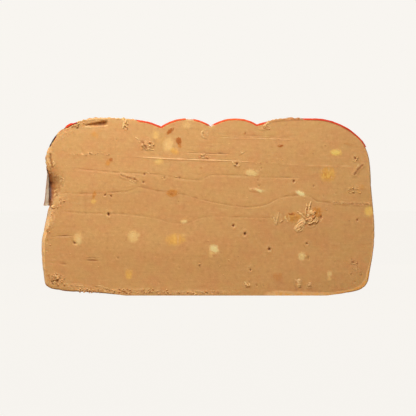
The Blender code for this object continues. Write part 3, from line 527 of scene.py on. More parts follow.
def inside_by(x, z):
    """How far each place is inside the outline, towards the middle or above the base, and its bearing."""
    bearing = np.degrees(np.arctan2(z - MIDDLE[1], x - MIDDLE[0]))
    order = np.argsort(BEARING)
    reach = np.linalg.norm(OUTLINE - MIDDLE, axis=1)[order]
    radial = np.interp(bearing, BEARING[order], reach, period=360)
    return np.minimum(radial - np.hypot(x - MIDDLE[0], z - MIDDLE[1]), z), bearing


def rim_margin(bearing):
    """How far inside the outline the front rim's edge lies."""
    return RIM_COVER * by_bearing(RIM_INSET, bearing)


# ------------------------------------------------------------------ the relief and colour of a cut face

def wave_at(x, z, seed):
    """How far the broad waves of a cut face stand out at one place."""
    return WAVE_HEIGHT * noise.noise((x / WAVE_LENGTH, z / WAVE_BREADTH, seed))


def height_of_line(line, x):
    """The height at each x of a smooth line given by a few points from left to right."""
    return np.interp(x, *knots_of(line, 8).T)


class Relief:
    """Places on a cut face, which one mark after another raises, sinks and colours."""

    def __init__(self, x, z, grain, seed):
        self.x, self.z, self.seed = x, z, seed
        self.pale, self.dark, self.torn, self.nut, self.tone = np.zeros((5, *x.shape))
        self.blotch = lumpy(x, z, 1.1, 1.0, seed + 5)
        self.fine = lumpy(x, z, 0.55, 0.5, seed + 6)
        streaks = lumpy(x, grain, 22.0, 0.75, seed + 3) + 0.6 * lumpy(x, grain, 9.0, 1.6, seed + 4)
        waves = np.array([wave_at(p, q, seed) for p, q in zip(x.tolist(), z.tolist())])
        self.height = waves + STREAK_RELIEF * streaks + FINE_RELIEF * self.fine

    def drag(self, breadth, rise, how_pale, how_dark, line):
        """A line that the knife dragged: a pale ridge, or a sunken line with painted shade in it and a
        painted highlight on the lip under it.
        """
        level = height_of_line(line, self.x)
        off = (self.z - level) / breadth
        start, end = line[0][0], line[-1][0]
        ends = within(self.x, start - 0.5, start + 3, end - 3, end + 0.5)
        ends = ends * (0.58 + lumpy(self.x, level, 3.2, 4.0, self.seed + 7)).clip(0.05, 1.3)
        on_line = np.exp(-off ** 2) * ends
        lip = np.exp(-(off + 1.7) ** 2) * ends
        self.dark += how_dark * on_line
        if rise > 0:
            self.height += rise * on_line
            self.pale += how_pale * on_line
        else:
            self.height += rise * on_line - 0.18 * rise * lip
            self.pale += how_pale * lip

    def cut_nut(self, x, z, wide, high, turn, tone, strength):
        u, v = turned(self.x + 0.45 * self.blotch, self.z + 0.40 * self.fine, x, z, turn)
        reach = np.hypot(u / (wide / 2), v / (high / 2)) + 0.22 * self.blotch + 0.16 * self.fine
        soft = 0.35 if tone > 0.75 else 0.7
        there = strength * fade(reach * 0.8, 1.0 + soft, 1.0 - 0.9 * soft)
        self.tone = np.where(there > self.nut, tone, self.tone)
        self.nut = np.maximum(self.nut, there)

    def tear(self, x, z, across, up, turn, rise, how_dark, how_pale):
        u, v = turned(self.x, self.z, x, z, turn)
        patch = fade(np.hypot(u / across, v / up) + 0.25 * self.blotch, 1.15, 0.45)
        self.height += 0.5 * rise * patch * (0.8 * self.blotch + 0.4 * self.fine)
        # The torn patch's sunken bits are darkened by painted shade; its raised bits are pale torn crumbs.
        self.dark += 0.7 * how_dark * patch * fade(self.blotch + 0.4 * self.fine, -0.05, -0.6)
        self.pale += how_pale * patch * fade(self.blotch + 0.4 * self.fine, 0.0, 0.5)
        self.torn = np.maximum(self.torn, patch * min(1.0, 2.5 * rise))

    def crack(self, breadth, depth, how_dark, line):
        """A crack, darkened inside by painted shade, with pale edges where it is a fine one."""
        off = distance_to(self.x, self.z, line, 3.0) / breadth
        hollow = fade(off + 0.7 * self.fine + 0.3 * self.blotch, 1.5, 0.2)
        self.height -= 0.4 * depth * hollow
        self.dark += 0.42 * how_dark * hollow
        if how_dark < 1:
            self.pale += 0.18 * within(off, 3.2, 2.0, 2.0, 1.2)
        self.torn = np.maximum(self.torn, 0.7 * fade(off, 3.5, 1.0))

    def shade(self, width, rise, line):
        """The painted shadow that a splinter casts below and to the right of it, in a narrow hollow."""
        off = distance_to(self.x - 0.45 * width, self.z + 0.55 * width, line, 2.0) / width
        hollow = fade(off, 1.2, 0.5) * (0.75 + 0.5 * self.blotch)
        self.height -= 0.06 * hollow
        self.dark += 0.15 * rise * hollow

    def bite(self, centre, half_sizes, turn):
        across, deep, up = half_sizes
        u, v = turned(self.x, self.z, *centre, -turn)
        hollow = deep * np.clip(1.1 - np.hypot(u / across, v / up), 0.0, 1.0) ** 1.5
        rough = 0.22 * fade(hollow, 0.0, 0.7) * (self.blotch + 0.6 * self.fine)
        self.height -= hollow * (1.0 + 0.12 * self.fine) - rough
        # Painted shade in the hollow of the bite.
        self.dark += 0.38 * fade(hollow, 0.0, 1.0)
        self.torn = np.maximum(self.torn, 0.6 * within(hollow, 0.0, 0.8, 1.0, 2.0))

    def gouge(self, x, z, along, across, turn, depth, how_dark):
        """A wedge-shaped hollow that is broadest and deepest at its far end, darkened by painted shade,
        with a painted highlight along one lip.
        """
        u, v = turned(self.x, self.z, x, z, turn)
        wedge = across * (0.72 + 0.38 * u / along).clip(0.2, 1.1)
        reach = (np.abs(u / along) ** 5 + np.abs(v / wedge) ** 4) ** 0.5
        hollow = fade(reach + 0.2 * self.fine, 1.25, 0.5) * (0.7 + 0.4 * u / along).clip(0.2, 1.2)
        self.height -= depth * hollow
        self.dark += how_dark * hollow
        self.pale += 0.15 * within(reach, 2.6, 1.3, 1.3, 1.0) * (v < 0)

    def pore(self, x, z, wide, how_dark):
        """An air hole, darkened inside by painted shade, with a torn edge that is pale on its left."""
        reach = np.hypot(self.x - x, 0.8 * (self.z - z)) / (wide / 2) + 0.2 * self.fine
        hole = fade(reach, 1.15, 0.45)
        self.height -= 0.5 * how_dark ** 2 * hole
        self.dark += how_dark ** 1.6 * hole
        self.pale += 0.4 * how_dark ** 3 * within(reach, 2.6, 1.6, 1.6, 1.0) * (self.x < x + 0.1)
        self.torn = np.maximum(self.torn, 0.5 * how_dark ** 3 * fade(reach, 3.6, 1.8))


class CutFace:
    """The marks of one cut face, and what they make of any places on it."""

    def __init__(self, seed, lines, guides, nuts, pores, gouges, tears, cracks=(), bites=(), splinters=()):
        self.seed, self.lines, self.guides, self.nuts, self.pores = seed, lines, guides, nuts, pores
        self.gouges, self.tears, self.cracks = gouges, tears, cracks
        self.bites, self.splinters = bites, splinters

    def grain(self, x, z):
        """The height each place would have if the knife's lines were straight."""
        levels = [(-10.0, np.full(x.shape, -10.0)), (8.0, np.full(x.shape, 8.0))]
        levels += [(level, height_of_line(self.lines[n][4], x)) for level, n in self.guides]
        levels += [(62.5, 62.5 - 0.02 * x), (80.0, np.full(x.shape, 80.0))]
        straight = np.array(z)
        for (low, below), (high, above) in zip(levels, levels[1:]):
            between = (z >= below) & (z < above)
            share = (z[between] - below[between]) / np.maximum(above[between] - below[between], 0.1)
            straight[between] = low + (high - low) * share
        return straight

    def fields(self, x, z):
        """Height in millimetres, how pale (pale marks and painted highlight), how dark (painted shade) and
        torn, how much nut of what tone, and the grain.
        """
        grain = self.grain(x, z)
        relief = Relief(x, z, grain, self.seed)
        for mark, rows in ((relief.drag, self.lines), (relief.cut_nut, self.nuts)):
            for row in rows:
                mark(*row)
        relief.height += NUT_RELIEF * relief.nut + 0.05 * relief.nut * relief.fine
        for mark, rows in ((relief.tear, self.tears), (relief.crack, self.cracks),
                           (relief.shade, self.splinters), (relief.bite, self.bites),
                           (relief.gouge, self.gouges)):
            for row in rows:
                mark(*row)
        relief.dark = np.minimum(relief.dark, DARKEST_SHADE)
        for row in self.pores:
            relief.pore(*row)
        return {"height": relief.height, "pale": relief.pale.clip(0, 1), "dark": relief.dark.clip(0, 1),
                "torn": relief.torn, "nut": relief.nut, "tone": relief.tone, "grain": grain}


def seeded_marks():
    """The marks of the back face: the same kinds as the front's, strewn by chance."""
    placing, chance = random.Random(5), random.Random(23)
    nuts = [(placing.uniform(-56, 56), placing.uniform(5, 62),
             2 * placing.uniform(0.9, 2.4), 2 * placing.uniform(0.8, 1.9), placing.uniform(0, 180),
             chance.choice(BACK_TONES), chance.uniform(0.5, 1.0)) for _ in range(BACK_NUTS)]
    pores = [(chance.uniform(-60, 60), chance.uniform(4, 64),
              chance.uniform(0.6, 1.2), chance.uniform(0.5, 1)) for _ in range(BACK_PORES)]
    lines = []
    for level in BACK_LINE_LEVELS:
        start, end = chance.uniform(-58, -20), chance.uniform(10, 58)
        swing = chance.uniform(0.6, 2.2)
        places = np.linspace(start, end, 7).tolist()
        line = tuple((x, level + swing * math.sin(x / 13 + level)) for x in places)
        kind = (0.08, 0.4, 0.0) if chance.random() < 0.35 else (-0.08, 0.15, 0.3)
        lines.append((0.42, *kind, line))
    gouges = [(chance.uniform(-50, 50), chance.uniform(10, 58), chance.uniform(0.8, 2.6),
               chance.uniform(0.3, 0.6), chance.uniform(-30, 30), 0.5, 0.6) for _ in range(BACK_GOUGES)]
    tears = [(chance.uniform(-56, 56), chance.uniform(6, 62), chance.uniform(1.2, 3.2),
              chance.uniform(0.8, 2.2), chance.uniform(-40, 40), 0.28, 0.5, 0.5) for _ in range(BACK_TEARS)]
    return lines, BACK_GUIDES, nuts, pores, gouges, [*tears, BACK_FOOT_TEAR]


FRONT_FACE = CutFace(FRONT_SEED, KNIFE_LINES, GRAIN_GUIDES, NUTS, PORES, GOUGES, TEARS, CRACKS, BITES,
                     SPLINTERS)
BACK_FACE = CutFace(BACK_SEED, *seeded_marks())
# Which way each cut face looks along Y, where it lies, and its marks.
CUT_SIDES = ((-1, FRONT, FRONT_FACE), (1, BACK, BACK_FACE))


# ------------------------------------------------------------------ modelling by hand

def deselect():
    bpy.ops.object.select_all(action="DESELECT")


def pick(obj):
    """Makes one object the selected and active one."""
    deselect()
    obj.select_set(True)
    bpy.context.view_layer.objects.active = obj


def added(name):
    """The object that the last operator added, named, with its place and turn put into its mesh."""
    obj = bpy.context.object
    obj.name = obj.data.name = name
    bpy.ops.object.transform_apply(location=True, rotation=True, scale=True)
    return obj


def places_of(obj):
    """The places of an object's vertices, in millimetres."""
    flat = np.empty(len(obj.data.vertices) * 3)
    obj.data.vertices.foreach_get("co", flat)
    return flat.reshape(-1, 3) / MM


def move_to(obj, places):
    obj.data.vertices.foreach_set("co", (np.asarray(places) * MM).ravel())
    obj.data.update()


def unit_ball(name, subdivisions=4):
    """A ball to shape into a lump, and its vertices' places as shares of its radius."""
    bpy.ops.mesh.primitive_ico_sphere_add(subdivisions=subdivisions, radius=1.0)
    ball = added(name)
    return ball, places_of(ball) * MM


def unit_sheet(name, columns, rows):
    """A sheet of columns and rows to shape, and its vertices' places as shares of its side."""
    bpy.ops.mesh.primitive_grid_add(x_subdivisions=columns, y_subdivisions=rows, size=1.0)
    sheet = added(name)
    return sheet, places_of(sheet) * MM


def edit_all(obj):
    pick(obj)
    bpy.ops.object.mode_set(mode="EDIT")
    bpy.ops.mesh.select_all(action="SELECT")


def finish_edit():
    bpy.ops.object.mode_set(mode="OBJECT")


def edit_faces(obj, chosen):
    """Starts to edit with only the faces selected that a list of booleans names."""
    edit_all(obj)
    bpy.ops.mesh.select_mode(type="FACE")
    bpy.ops.mesh.select_all(action="DESELECT")
    finish_edit()
    obj.data.polygons.foreach_set("select", chosen)
    bpy.ops.object.mode_set(mode="EDIT")


def apply(obj, kind, **settings):
    """Adds a modifier and applies it."""
    pick(obj)
    modifier = obj.modifiers.new(kind.title(), kind)
    for name, value in settings.items():
        setattr(modifier, name, value)
    bpy.ops.object.modifier_apply(modifier=modifier.name)


def joined(name, pieces):
    deselect()
    for piece in pieces:
        piece.select_set(True)
    bpy.context.view_layer.objects.active = pieces[0]
    bpy.ops.object.join()
    whole = bpy.context.object
    whole.name = whole.data.name = name
    return whole


def merge_close(obj, distance):
    """Makes one vertex of those that lie within a distance, in millimetres."""
    edit_all(obj)
    bpy.ops.mesh.remove_doubles(threshold=distance * MM)
    finish_edit()


def outward_faces(obj):
    merge_close(obj, 0.001)
    edit_all(obj)
    bpy.ops.mesh.normals_make_consistent(inside=False)
    finish_edit()


def smooth(obj, angle):
    pick(obj)
    bpy.ops.object.shade_smooth_by_angle(angle=math.radians(angle))


def write_attributes(obj, **values):
    """Writes values, one for each vertex or one for all, where the materials read them."""
    for name, value in values.items():
        layer = obj.data.attributes.new(name, "FLOAT", "POINT")
        spread = np.broadcast_to(value, len(obj.data.vertices))
        layer.data.foreach_set("value", spread.astype(np.float32))


def finished(obj, material, node=None):
    """Gives a piece its material and says where it belongs."""
    obj.data.materials.clear()
    obj.data.materials.append(material)
    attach(obj, "root")
    if node:
        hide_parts(node)


# ------------------------------------------------------------------ shader maths

class Link:
    """A node's output. Arithmetic on links adds the Math nodes that it needs."""

    def __init__(self, nodes, socket):
        self.nodes, self.socket = nodes, socket

    def math(self, operation, first, second):
        return self.nodes.node("ShaderNodeMath", {"operation": operation}, {0: first, 1: second})

    def __add__(self, other):
        return self.math("ADD", self, other)

    def __sub__(self, other):
        return self.math("SUBTRACT", self, other)

    def __rsub__(self, other):
        return self.math("SUBTRACT", other, self)

    def __mul__(self, other):
        return self.math("MULTIPLY", self, other)

    def __abs__(self):
        return self.math("ABSOLUTE", self, 0.0)

    __radd__, __rmul__ = __add__, __mul__


class Nodes:
    """A node tree that is being built."""

    def __init__(self, owner):
        owner.use_nodes = True
        self.tree = owner.node_tree
        self.tree.nodes.clear()

    def node(self, kind, settings=None, values=None, output=0):
        made = self.tree.nodes.new(kind)
        for name, value in (settings or {}).items():
            setattr(made, name, value)
        for name, value in (values or {}).items():
            if isinstance(value, Link):
                self.tree.links.new(value.socket, made.inputs[name])
            else:
                made.inputs[name].default_value = value
        return Link(self, made.outputs[output]) if made.outputs else None

    def place(self):
        return self.node("ShaderNodeTexCoord", output="Object")

    def axis(self, place, name):
        return self.node("ShaderNodeSeparateXYZ", None, {0: place}, name)

    def painted(self, name):
        return self.node("ShaderNodeAttribute", {"attribute_name": name}, output="Fac")

    def stretched(self, vector, scale):
        return self.node("ShaderNodeVectorMath", {"operation": "MULTIPLY"}, {0: vector, 1: scale})

    def clouds(self, vector, scale, detail=2.0, roughness=0.5):
        """Noise about 0.5, with scale lumps to a metre."""
        values = {"Vector": vector, "Scale": scale, "Detail": detail, "Roughness": roughness}
        return self.node("ShaderNodeTexNoise", {"noise_dimensions": "3D"}, values)

    def ragged(self, vector, scale, amount, detail=2.0):
        """Noise about 0, to make an edge uneven."""
        return (self.clouds(vector, scale, detail) - 0.5) * amount

    def step(self, value, low, high, start=0.0, end=1.0):
        """From start where value is low to end where it is high, smoothly."""
        values = {"Value": value, "From Min": low, "From Max": high, "To Min": start, "To Max": end}
        return self.node("ShaderNodeMapRange", {"interpolation_type": "SMOOTHSTEP"}, values)

    def patches(self, vector, scale, low, high, detail=2.0, roughness=0.5):
        """From 0 where noise is low to 1 where it is high."""
        return self.step(self.clouds(vector, scale, detail, roughness), low, high)

    def sheen(self, place, scale, low, high):
        """A roughness that wanders from low to high."""
        return self.step(self.clouds(place, scale), 0.3, 0.7, low, high)

    def creases(self, vector, stretch, scale, breadth):
        """Thin crossing lines, 1 on a line and 0 beside it."""
        value = self.clouds(self.stretched(vector, stretch), scale)
        broken = self.patches(vector, 1.6 * scale, 0.50, 0.58, 1.0)
        return self.step(abs(value - 0.5), breadth, 0.0) * broken

    def mix(self, first, second, share):
        return self.node("ShaderNodeMix", {"data_type": "RGBA"}, {0: share, 6: first, 7: second}, 2)

    def tinted(self, base, *tints):
        """A colour with others laid over it in turn, each by its own share."""
        for tint, share in tints:
            base = self.mix(base, tint, share)
        return base

    def bumps(self, *layers):
        """Fine relief of layers, each a height, its distance in metres and its strength."""
        normal = {}
        for height, distance, strength in layers:
            values = {"Height": height, "Distance": distance, "Strength": strength, **normal}
            normal = {"Normal": self.node("ShaderNodeBump", None, values)}
        return normal["Normal"]

    def for_camera(self, shown, hidden, share=1.0):
        """The first surface for the camera, by a share, and the second for all other light."""
        seen = self.node("ShaderNodeLightPath", output="Is Camera Ray")
        return self.node("ShaderNodeMixShader", None, {0: seen * share, 1: hidden, 2: shown})


def colour(red, green, blue):
    """A colour of 0 to 255 a channel, as a screen shows it, made linear."""
    def linear(value):
        share = value / 255
        return share / 12.92 if share <= 0.04045 else ((share + 0.055) / 1.055) ** 2.4
    return (linear(red), linear(green), linear(blue), 1.0)


def new_material(name, build, **constants):
    """A material whose varying sockets come from build and whose other sockets are constants."""
    material = bpy.data.materials.new(name)
    nodes = Nodes(material)
    surface = nodes.node("ShaderNodeBsdfPrincipled", None, {**build(nodes), **constants})
    nodes.node("ShaderNodeOutputMaterial", None, {"Surface": surface})
    return material


def waxy(weight, depth, specular, ior=1.45, reach=(1.0, 0.5, 0.25)):
    """The constants of a material that light sinks into."""
    return {"Subsurface Weight": weight, "Subsurface Radius": reach, "Subsurface Scale": depth, "IOR": ior,
            "Specular IOR Level": specular}


CUT_TAN, CUT_ROSE, CUT_GOLD = colour(215, 166, 104), colour(215, 157, 100), colour(213, 168, 105)
MOTTLE_LIGHT, MOTTLE_DARK = colour(229, 181, 122), colour(198, 143, 88)
SPECK_LIGHT, SPECK_DARK = colour(236, 196, 142), colour(176, 116, 66)
# The last colour on the next line is the painted shade of the crisp knife lines.
DRAG_LIGHT, DRAG_DARK, LINE_SHADE = colour(236, 190, 130), colour(180, 124, 72), colour(172, 114, 64)
SKIN_TAN, SKIN_SCUFF = colour(204, 150, 92), colour(216, 168, 112)
SKIN_CREASE, SKIN_BLOOM = colour(168, 112, 64), colour(222, 180, 130)
# Next two lines: pale scraped paste that also serves as painted highlight, painted shade for hollows, the
# rim's painted highlight, and painted shade for the deepest holes.
SCRAPED_AND_HIGHLIGHT, HOLLOW = colour(248, 198, 135), colour(156, 93, 48)
RIM_HIGHLIGHT_GOLD, DEEP_HOLE = colour(242, 180, 98), colour(66, 30, 26)
NUT_IVORY, NUT_CREAM, NUT_YELLOW = colour(255, 230, 162), colour(241, 199, 129), colour(252, 210, 106)
NUT_AMBER, NUT_BROWN, NUT_VEIN = colour(222, 154, 72), colour(184, 104, 38), colour(252, 228, 170)


def tan_paste(nodes, place):
    """The paste's own colour: tan with faint rosy and golden clouds and specks of ground nut skin."""
    mottle = nodes.clouds(place, 700.0, 3.0, 0.6)
    return nodes.tinted(
        CUT_TAN,
        (CUT_ROSE, nodes.patches(place, 160.0, 0.35, 0.7, 3.0) * 0.75),
        (CUT_GOLD, nodes.patches(nodes.stretched(place, (0.6, 1.0, 1.0)), 240.0, 0.45, 0.75) * 0.6),
        (MOTTLE_LIGHT, nodes.step(mottle, 0.50, 0.72) * 0.46),
        (MOTTLE_DARK, nodes.step(mottle, 0.48, 0.28) * 0.46),
        (SPECK_DARK, nodes.patches(place, 1500.0, 0.61, 0.75, 2.0, 0.6) * 0.22),
        (SPECK_LIGHT, nodes.patches(place, 1900.0, 0.64, 0.78, 2.0, 0.6) * 0.16),
    )


def nut_colour(nodes, place, tone):
    """The colour of cut nut, from ivory over cream, yellow and amber to brown, with its own veins."""
    veins = nodes.clouds(nodes.stretched(place, (1.0, 1.0, 0.5)), 900.0, 3.0)
    tone = tone + (veins - 0.5) * 0.3
    return nodes.tinted(
        NUT_IVORY,
        (NUT_CREAM, nodes.step(tone, -0.3, 0.0)),
        (NUT_YELLOW, nodes.step(tone, 0.0, 0.3)),
        (NUT_AMBER, nodes.step(tone, 0.3, 0.6)),
        (NUT_BROWN, nodes.step(tone, 0.65, 0.95)),
        (NUT_VEIN, nodes.step(veins, 0.56, 0.72) * 0.35),
    )


# Lines of the grain that are crisper than the relief can draw them, painted in as light and shade: level,
# breadth, share of pale (pale ridges and painted highlight on lips) or, below 0, of dark (painted shade),
# and where each starts and ends.
CRISP_LINES = (
    (52.8, 0.24, 0.26, -28, 18), (52.62, 0.25, 0.16, -26, 14), (53.2, 0.22, -0.16, -25, 15),
    (46.5, 0.58, -0.14, -54, 36), (38.5, 0.66, -0.16, -60, 62), (30.5, 0.6, -0.12, -58, 26),
    (22, 0.26, -0.22, -62, -52), (55.4, 0.26, -0.3, -8, 9), (61.9, 0.24, -0.2, 3, 32),
    (61.5, 0.22, 0.14, 3, 32), (14, 0.24, -0.45, -48, -42),
)


def crisp_line_shading(nodes, place, across):
    """How pale, above a half, or dark, below it, the crisp lines are: pale ridges and painted highlight,
    and painted shade.
    """
    level_here = nodes.painted("grain") * 1000
    x = across * 1000
    broken = nodes.clouds(nodes.stretched(place, (1.0, 0.0, 0.4)), 380.0, 4.0, 0.65)
    drawn = 0.0
    for level, breadth, share, start, end in CRISP_LINES:
        on_line = nodes.step(abs(level_here - level), breadth, 0.0)
        ends = nodes.step(x, start - 1, start + 3) * nodes.step(x, end + 1, end - 3)
        drawn = on_line * ends * share + drawn
    at_front = nodes.step(nodes.axis(place, "Y"), -0.012, -0.018)
    return drawn * nodes.step(broken, 0.40, 0.60, 0.25, 1.0) * at_front + 0.5


def moulded_skin(nodes, place, creases):
    """The colour of the moulded skin: scuffed, with nuts that show through it, creases darkened by painted
    shade, and bloom.
    """
    blurred = (nodes.clouds(place, 700.0, 3.0, 0.6) - 0.5) * 0.16
    cells = nodes.node("ShaderNodeTexVoronoi", None, {"Vector": place, "Scale": 88.0}, "Distance")
    hidden_nut = nodes.mix(NUT_CREAM, NUT_BROWN, nodes.patches(place, 60.0, 0.5, 0.6))
    pulled = nodes.stretched(place, (1.0, 0.35, 1.0))
    return nodes.tinted(
        SKIN_TAN,
        (SKIN_SCUFF, nodes.patches(pulled, 220.0, 0.5, 0.72, 4.0, 0.6) * 0.6),
        (hidden_nut, nodes.step(cells + blurred, 0.20, 0.08) * 0.55),
        # Painted shade along the sunken creases.
        (SKIN_CREASE, creases * 0.14),
        (SKIN_BLOOM, nodes.patches(place, 42.0, 0.52, 0.74, 4.0, 0.6) * 0.35),
    )


def gianduja_nodes(nodes):
    place = nodes.place()
    skin, torn, pale, dark = (nodes.painted(name) for name in ("skin", "torn", "pale", "dark"))
    across = nodes.axis(place, "X")
    level = nodes.painted("grain")
    grain_place = nodes.node("ShaderNodeCombineXYZ", None, {0: across * 0.09, 1: 0.0, 2: level})
    drag = nodes.clouds(grain_place, 1300.0, 3.0, 0.6)
    drawn = crisp_line_shading(nodes, place, across)
    creases = nodes.creases(place, (1.0, 0.30, 0.75), 46.0, 0.016)
    creases = creases + nodes.creases(place, (0.8, 0.8, 0.4), 95.0, 0.012) * 0.15
    crumbling = nodes.clouds(place, 1150.0, 4.0, 0.65)
    ragged = nodes.ragged(place, 1400.0, 0.5)
    paste = nodes.tinted(
        tan_paste(nodes, place),
        (DRAG_LIGHT, nodes.step(drag, 0.54, 0.78) * (1 - skin) * 0.13),
        (DRAG_DARK, nodes.step(drag, 0.46, 0.24) * (1 - skin) * 0.13),
        (moulded_skin(nodes, place, creases), skin * 0.9),
        (nut_colour(nodes, place, nodes.painted("tone")),
         nodes.step(nodes.painted("nut") + ragged * 0.9, 0.08, 1.0) * 0.92),
        # Torn patches: pale crumbs on the bumps' peaks and painted shade in their pits.
        (SCRAPED_AND_HIGHLIGHT, nodes.step(crumbling, 0.52, 0.64) * torn * 0.62),
        (HOLLOW, nodes.step(crumbling, 0.44, 0.34) * torn * 0.24),
        # Pale marks and, on the lips of sunken knife lines and gouges, painted highlight.
        (SCRAPED_AND_HIGHLIGHT, nodes.step(pale + ragged * 0.5, 0.05, 0.9) * 0.8),
        # The rim's painted highlight, where its pale band goes beyond 1.
        (RIM_HIGHLIGHT_GOLD, nodes.step(pale + ragged * 0.4, 1.0, 1.5)),
        # Painted shade in hollows, cracks, gouges and pores, beside splinters and under the film's edge and
        # flap.
        (HOLLOW, nodes.step(dark, 0.05, 0.75) * 0.9),
        (DEEP_HOLE, nodes.step(dark, 0.7, 1.0) * 0.85),
        # The crisp knife lines' painted highlight and painted shade.
        (SCRAPED_AND_HIGHLIGHT, nodes.step(drawn, 0.5, 1.0) * 0.8),
        (LINE_SHADE, nodes.step(drawn, 0.5, 0.0) * 0.7),
    )
    relief = nodes.bumps(
        (crumbling * torn, 0.0004, 1.0),
        (creases * skin * -1.0, 0.00018, 1.0),
        (nodes.clouds(place, 330.0, 3.0) * skin, 0.0004, 1.0),
        (drawn, 0.0004, 1.0),
        (drag * (1 - skin), 0.00004, 1.0),
        (nodes.clouds(place, 2600.0, 3.0, 0.6), 0.00005, 0.7),
    )
    return {"Base Color": paste, "Roughness": nodes.sheen(place, 500.0, 0.46, 0.60) - skin * 0.08,
            "Normal": relief}


def scrap_nodes(nodes):
    """Loose paste: crumbs, curls and smears, lighter where painted pale, as dried paste and as a painted
    highlight on the higher ridges and peaks, and darker where painted with shade or a darker tone.
    """
    place = nodes.place()
    scrap_pale_and_highlight_share = nodes.step(nodes.clouds(place, 700.0, 3.0), 0.32, 0.6, 0.5, 1.0) * nodes.painted("bright")
    paste = nodes.tinted(tan_paste(nodes, place), (SCRAPED_AND_HIGHLIGHT, scrap_pale_and_highlight_share), (HOLLOW, nodes.painted("groove")))
    return {"Base Color": paste, "Roughness": nodes.sheen(place, 900.0, 0.5, 0.66),
            "Normal": nodes.bumps((nodes.clouds(place, 2600.0, 3.0, 0.6), 0.00006, 1.0))}


def chip_nodes(nodes):
    """A chip of nut, with paste smeared over its edge."""
    place = nodes.place()
    bare = nodes.step(nodes.painted("core") + nodes.ragged(place, 1500.0, 0.5), 0.1, 0.6)
    nut = nut_colour(nodes, place, nodes.painted("tone"))
    return {"Base Color": nodes.mix(tan_paste(nodes, place), nut, bare),
            "Roughness": nodes.sheen(place, 900.0, 0.36, 0.52),
            "Normal": nodes.bumps((nodes.clouds(place, 1800.0, 3.0, 0.6), 0.00008, 1.0))}


FILM_RED, FILM_ORANGE, FILM_HEM = colour(212, 58, 23), colour(232, 95, 36), colour(226, 140, 118)
FILM_BLACK, FILM_GOLD = colour(26, 22, 22), colour(206, 158, 70)
FILM_CREAM, FILM_SILVER = colour(232, 206, 176), colour(255, 248, 226)
# Fields of the film's print: colour, and from where to where up from its left foot.
PRINT_FIELDS = (
    (FILM_CREAM, 2.6, 19.2), (FILM_BLACK, 20.4, 29.2), (FILM_GOLD, 19.2, 20.4), (FILM_GOLD, 29.2, 30.4),
)
FIELD_BLUR = 0.12


def film_nodes(nodes):
    place = nodes.place()
    inside = nodes.painted("inside")
    worn = nodes.clouds(place, 420.0, 4.0, 0.65)
    edge = nodes.painted("along") + nodes.ragged(place, 900.0, 0.25)
    across, up = nodes.axis(place, "X"), nodes.axis(place, "Z")
    crest = nodes.step(up + (worn - 0.5) * 0.004, 0.0672, 0.0690) * nodes.step(across, 0.028, 0.022)
    fields = [(tint, nodes.step(edge, start - FIELD_BLUR, start + FIELD_BLUR)
               * nodes.step(edge, end + FIELD_BLUR, end - FIELD_BLUR)) for tint, start, end in PRINT_FIELDS]
    printed = nodes.tinted(
        FILM_RED,
        (FILM_ORANGE, nodes.patches(nodes.stretched(place, (1.0, 0.25, 1.0)), 95.0, 0.38, 0.68) * 0.55),
        (FILM_ORANGE, nodes.step(worn, 0.55, 0.75) * 0.3),
        *fields,
        (FILM_CREAM, nodes.step(worn, 0.74, 0.82) * 0.3),
        (FILM_ORANGE, crest * nodes.step(across, -0.030, -0.022)),
        (FILM_CREAM, nodes.painted("nick")),
    )
    lining = nodes.mix(FILM_SILVER, FILM_HEM, nodes.painted("hem"))
    smear = nodes.patches(place, 260.0, 0.55, 0.72, 3.0, 0.6) * inside * 0.35
    crinkles = nodes.bumps(
        (nodes.clouds(nodes.stretched(place, (1.0, 0.4, 1.0)), 160.0), 0.0008, 0.7),
        (nodes.creases(place, (1.0, 0.35, 1.0), 40.0, 0.020), 0.00018, 0.8),
        (nodes.creases(place, (0.7, 1.2, 0.7), 85.0, 0.016), 0.0001, 0.7),
    )
    return {"Base Color": nodes.tinted(printed, (lining, nodes.step(inside, 0.4, 0.6)), (CUT_TAN, smear)),
            "Roughness": nodes.step(worn, 0.3, 0.7, 0.36, 0.50), "Normal": crinkles}


GIANDUJA = new_material("gianduja", gianduja_nodes, **waxy(0.3, 0.0012, 0.35))
SCRAP = new_material("gianduja_scrap", scrap_nodes, **waxy(0.2, 0.0008, 0.3))
CHIP = new_material("nut_chip", chip_nodes, **waxy(0.25, 0.0012, 0.45, 1.47, (1.0, 0.7, 0.35)))
FILM = new_material("printed_film", film_nodes, **{
    "IOR": 1.5, "Specular IOR Level": 0.5, "Coat Weight": 0.08, "Coat Roughness": 0.25,
})


# ------------------------------------------------------------------ the block

def cut_slab():
    """A slab with a cut face on either side, the front one more finely divided for its finer relief."""
    bpy.ops.mesh.primitive_cube_add(size=1.0)
    slab = added("cut_slab")
    wide, high = SQUARE * SQUARES_ACROSS, SQUARE * SQUARES_UP
    move_to(slab, places_of(slab) * MM * (wide, DEPTH, high) + (0.0, 0.0, SLAB_BOTTOM + high / 2))
    cuts = [((n * SQUARE - wide / 2, 0, 0), (1, 0, 0)) for n in range(1, SQUARES_ACROSS)]
    cuts += [((0, 0, SLAB_BOTTOM + n * SQUARE), (0, 0, 1)) for n in range(1, SQUARES_UP)]
    edit_all(slab)
    for place, way in cuts:
        bpy.ops.mesh.select_all(action="SELECT")
        bpy.ops.mesh.bisect(plane_co=[value * MM for value in place], plane_no=way)
    finish_edit()
    for side, cuts in ((-1, FRONT_CUTS), (1, BACK_CUTS)):
        edit_faces(slab, [face.normal.y * side > 0.9 for face in slab.data.polygons])
        bpy.ops.mesh.subdivide(number_cuts=cuts, ngon=True, smoothness=0.0)
        finish_edit()
    places = places_of(slab)
    for side, plane, face in CUT_SIDES:
        on_face = np.abs(places[:, 1] - plane) < 0.001
        places[on_face, 1] = plane + side * face.fields(places[on_face, 0], places[on_face, 2])["height"]
    move_to(slab, places)
    return slab


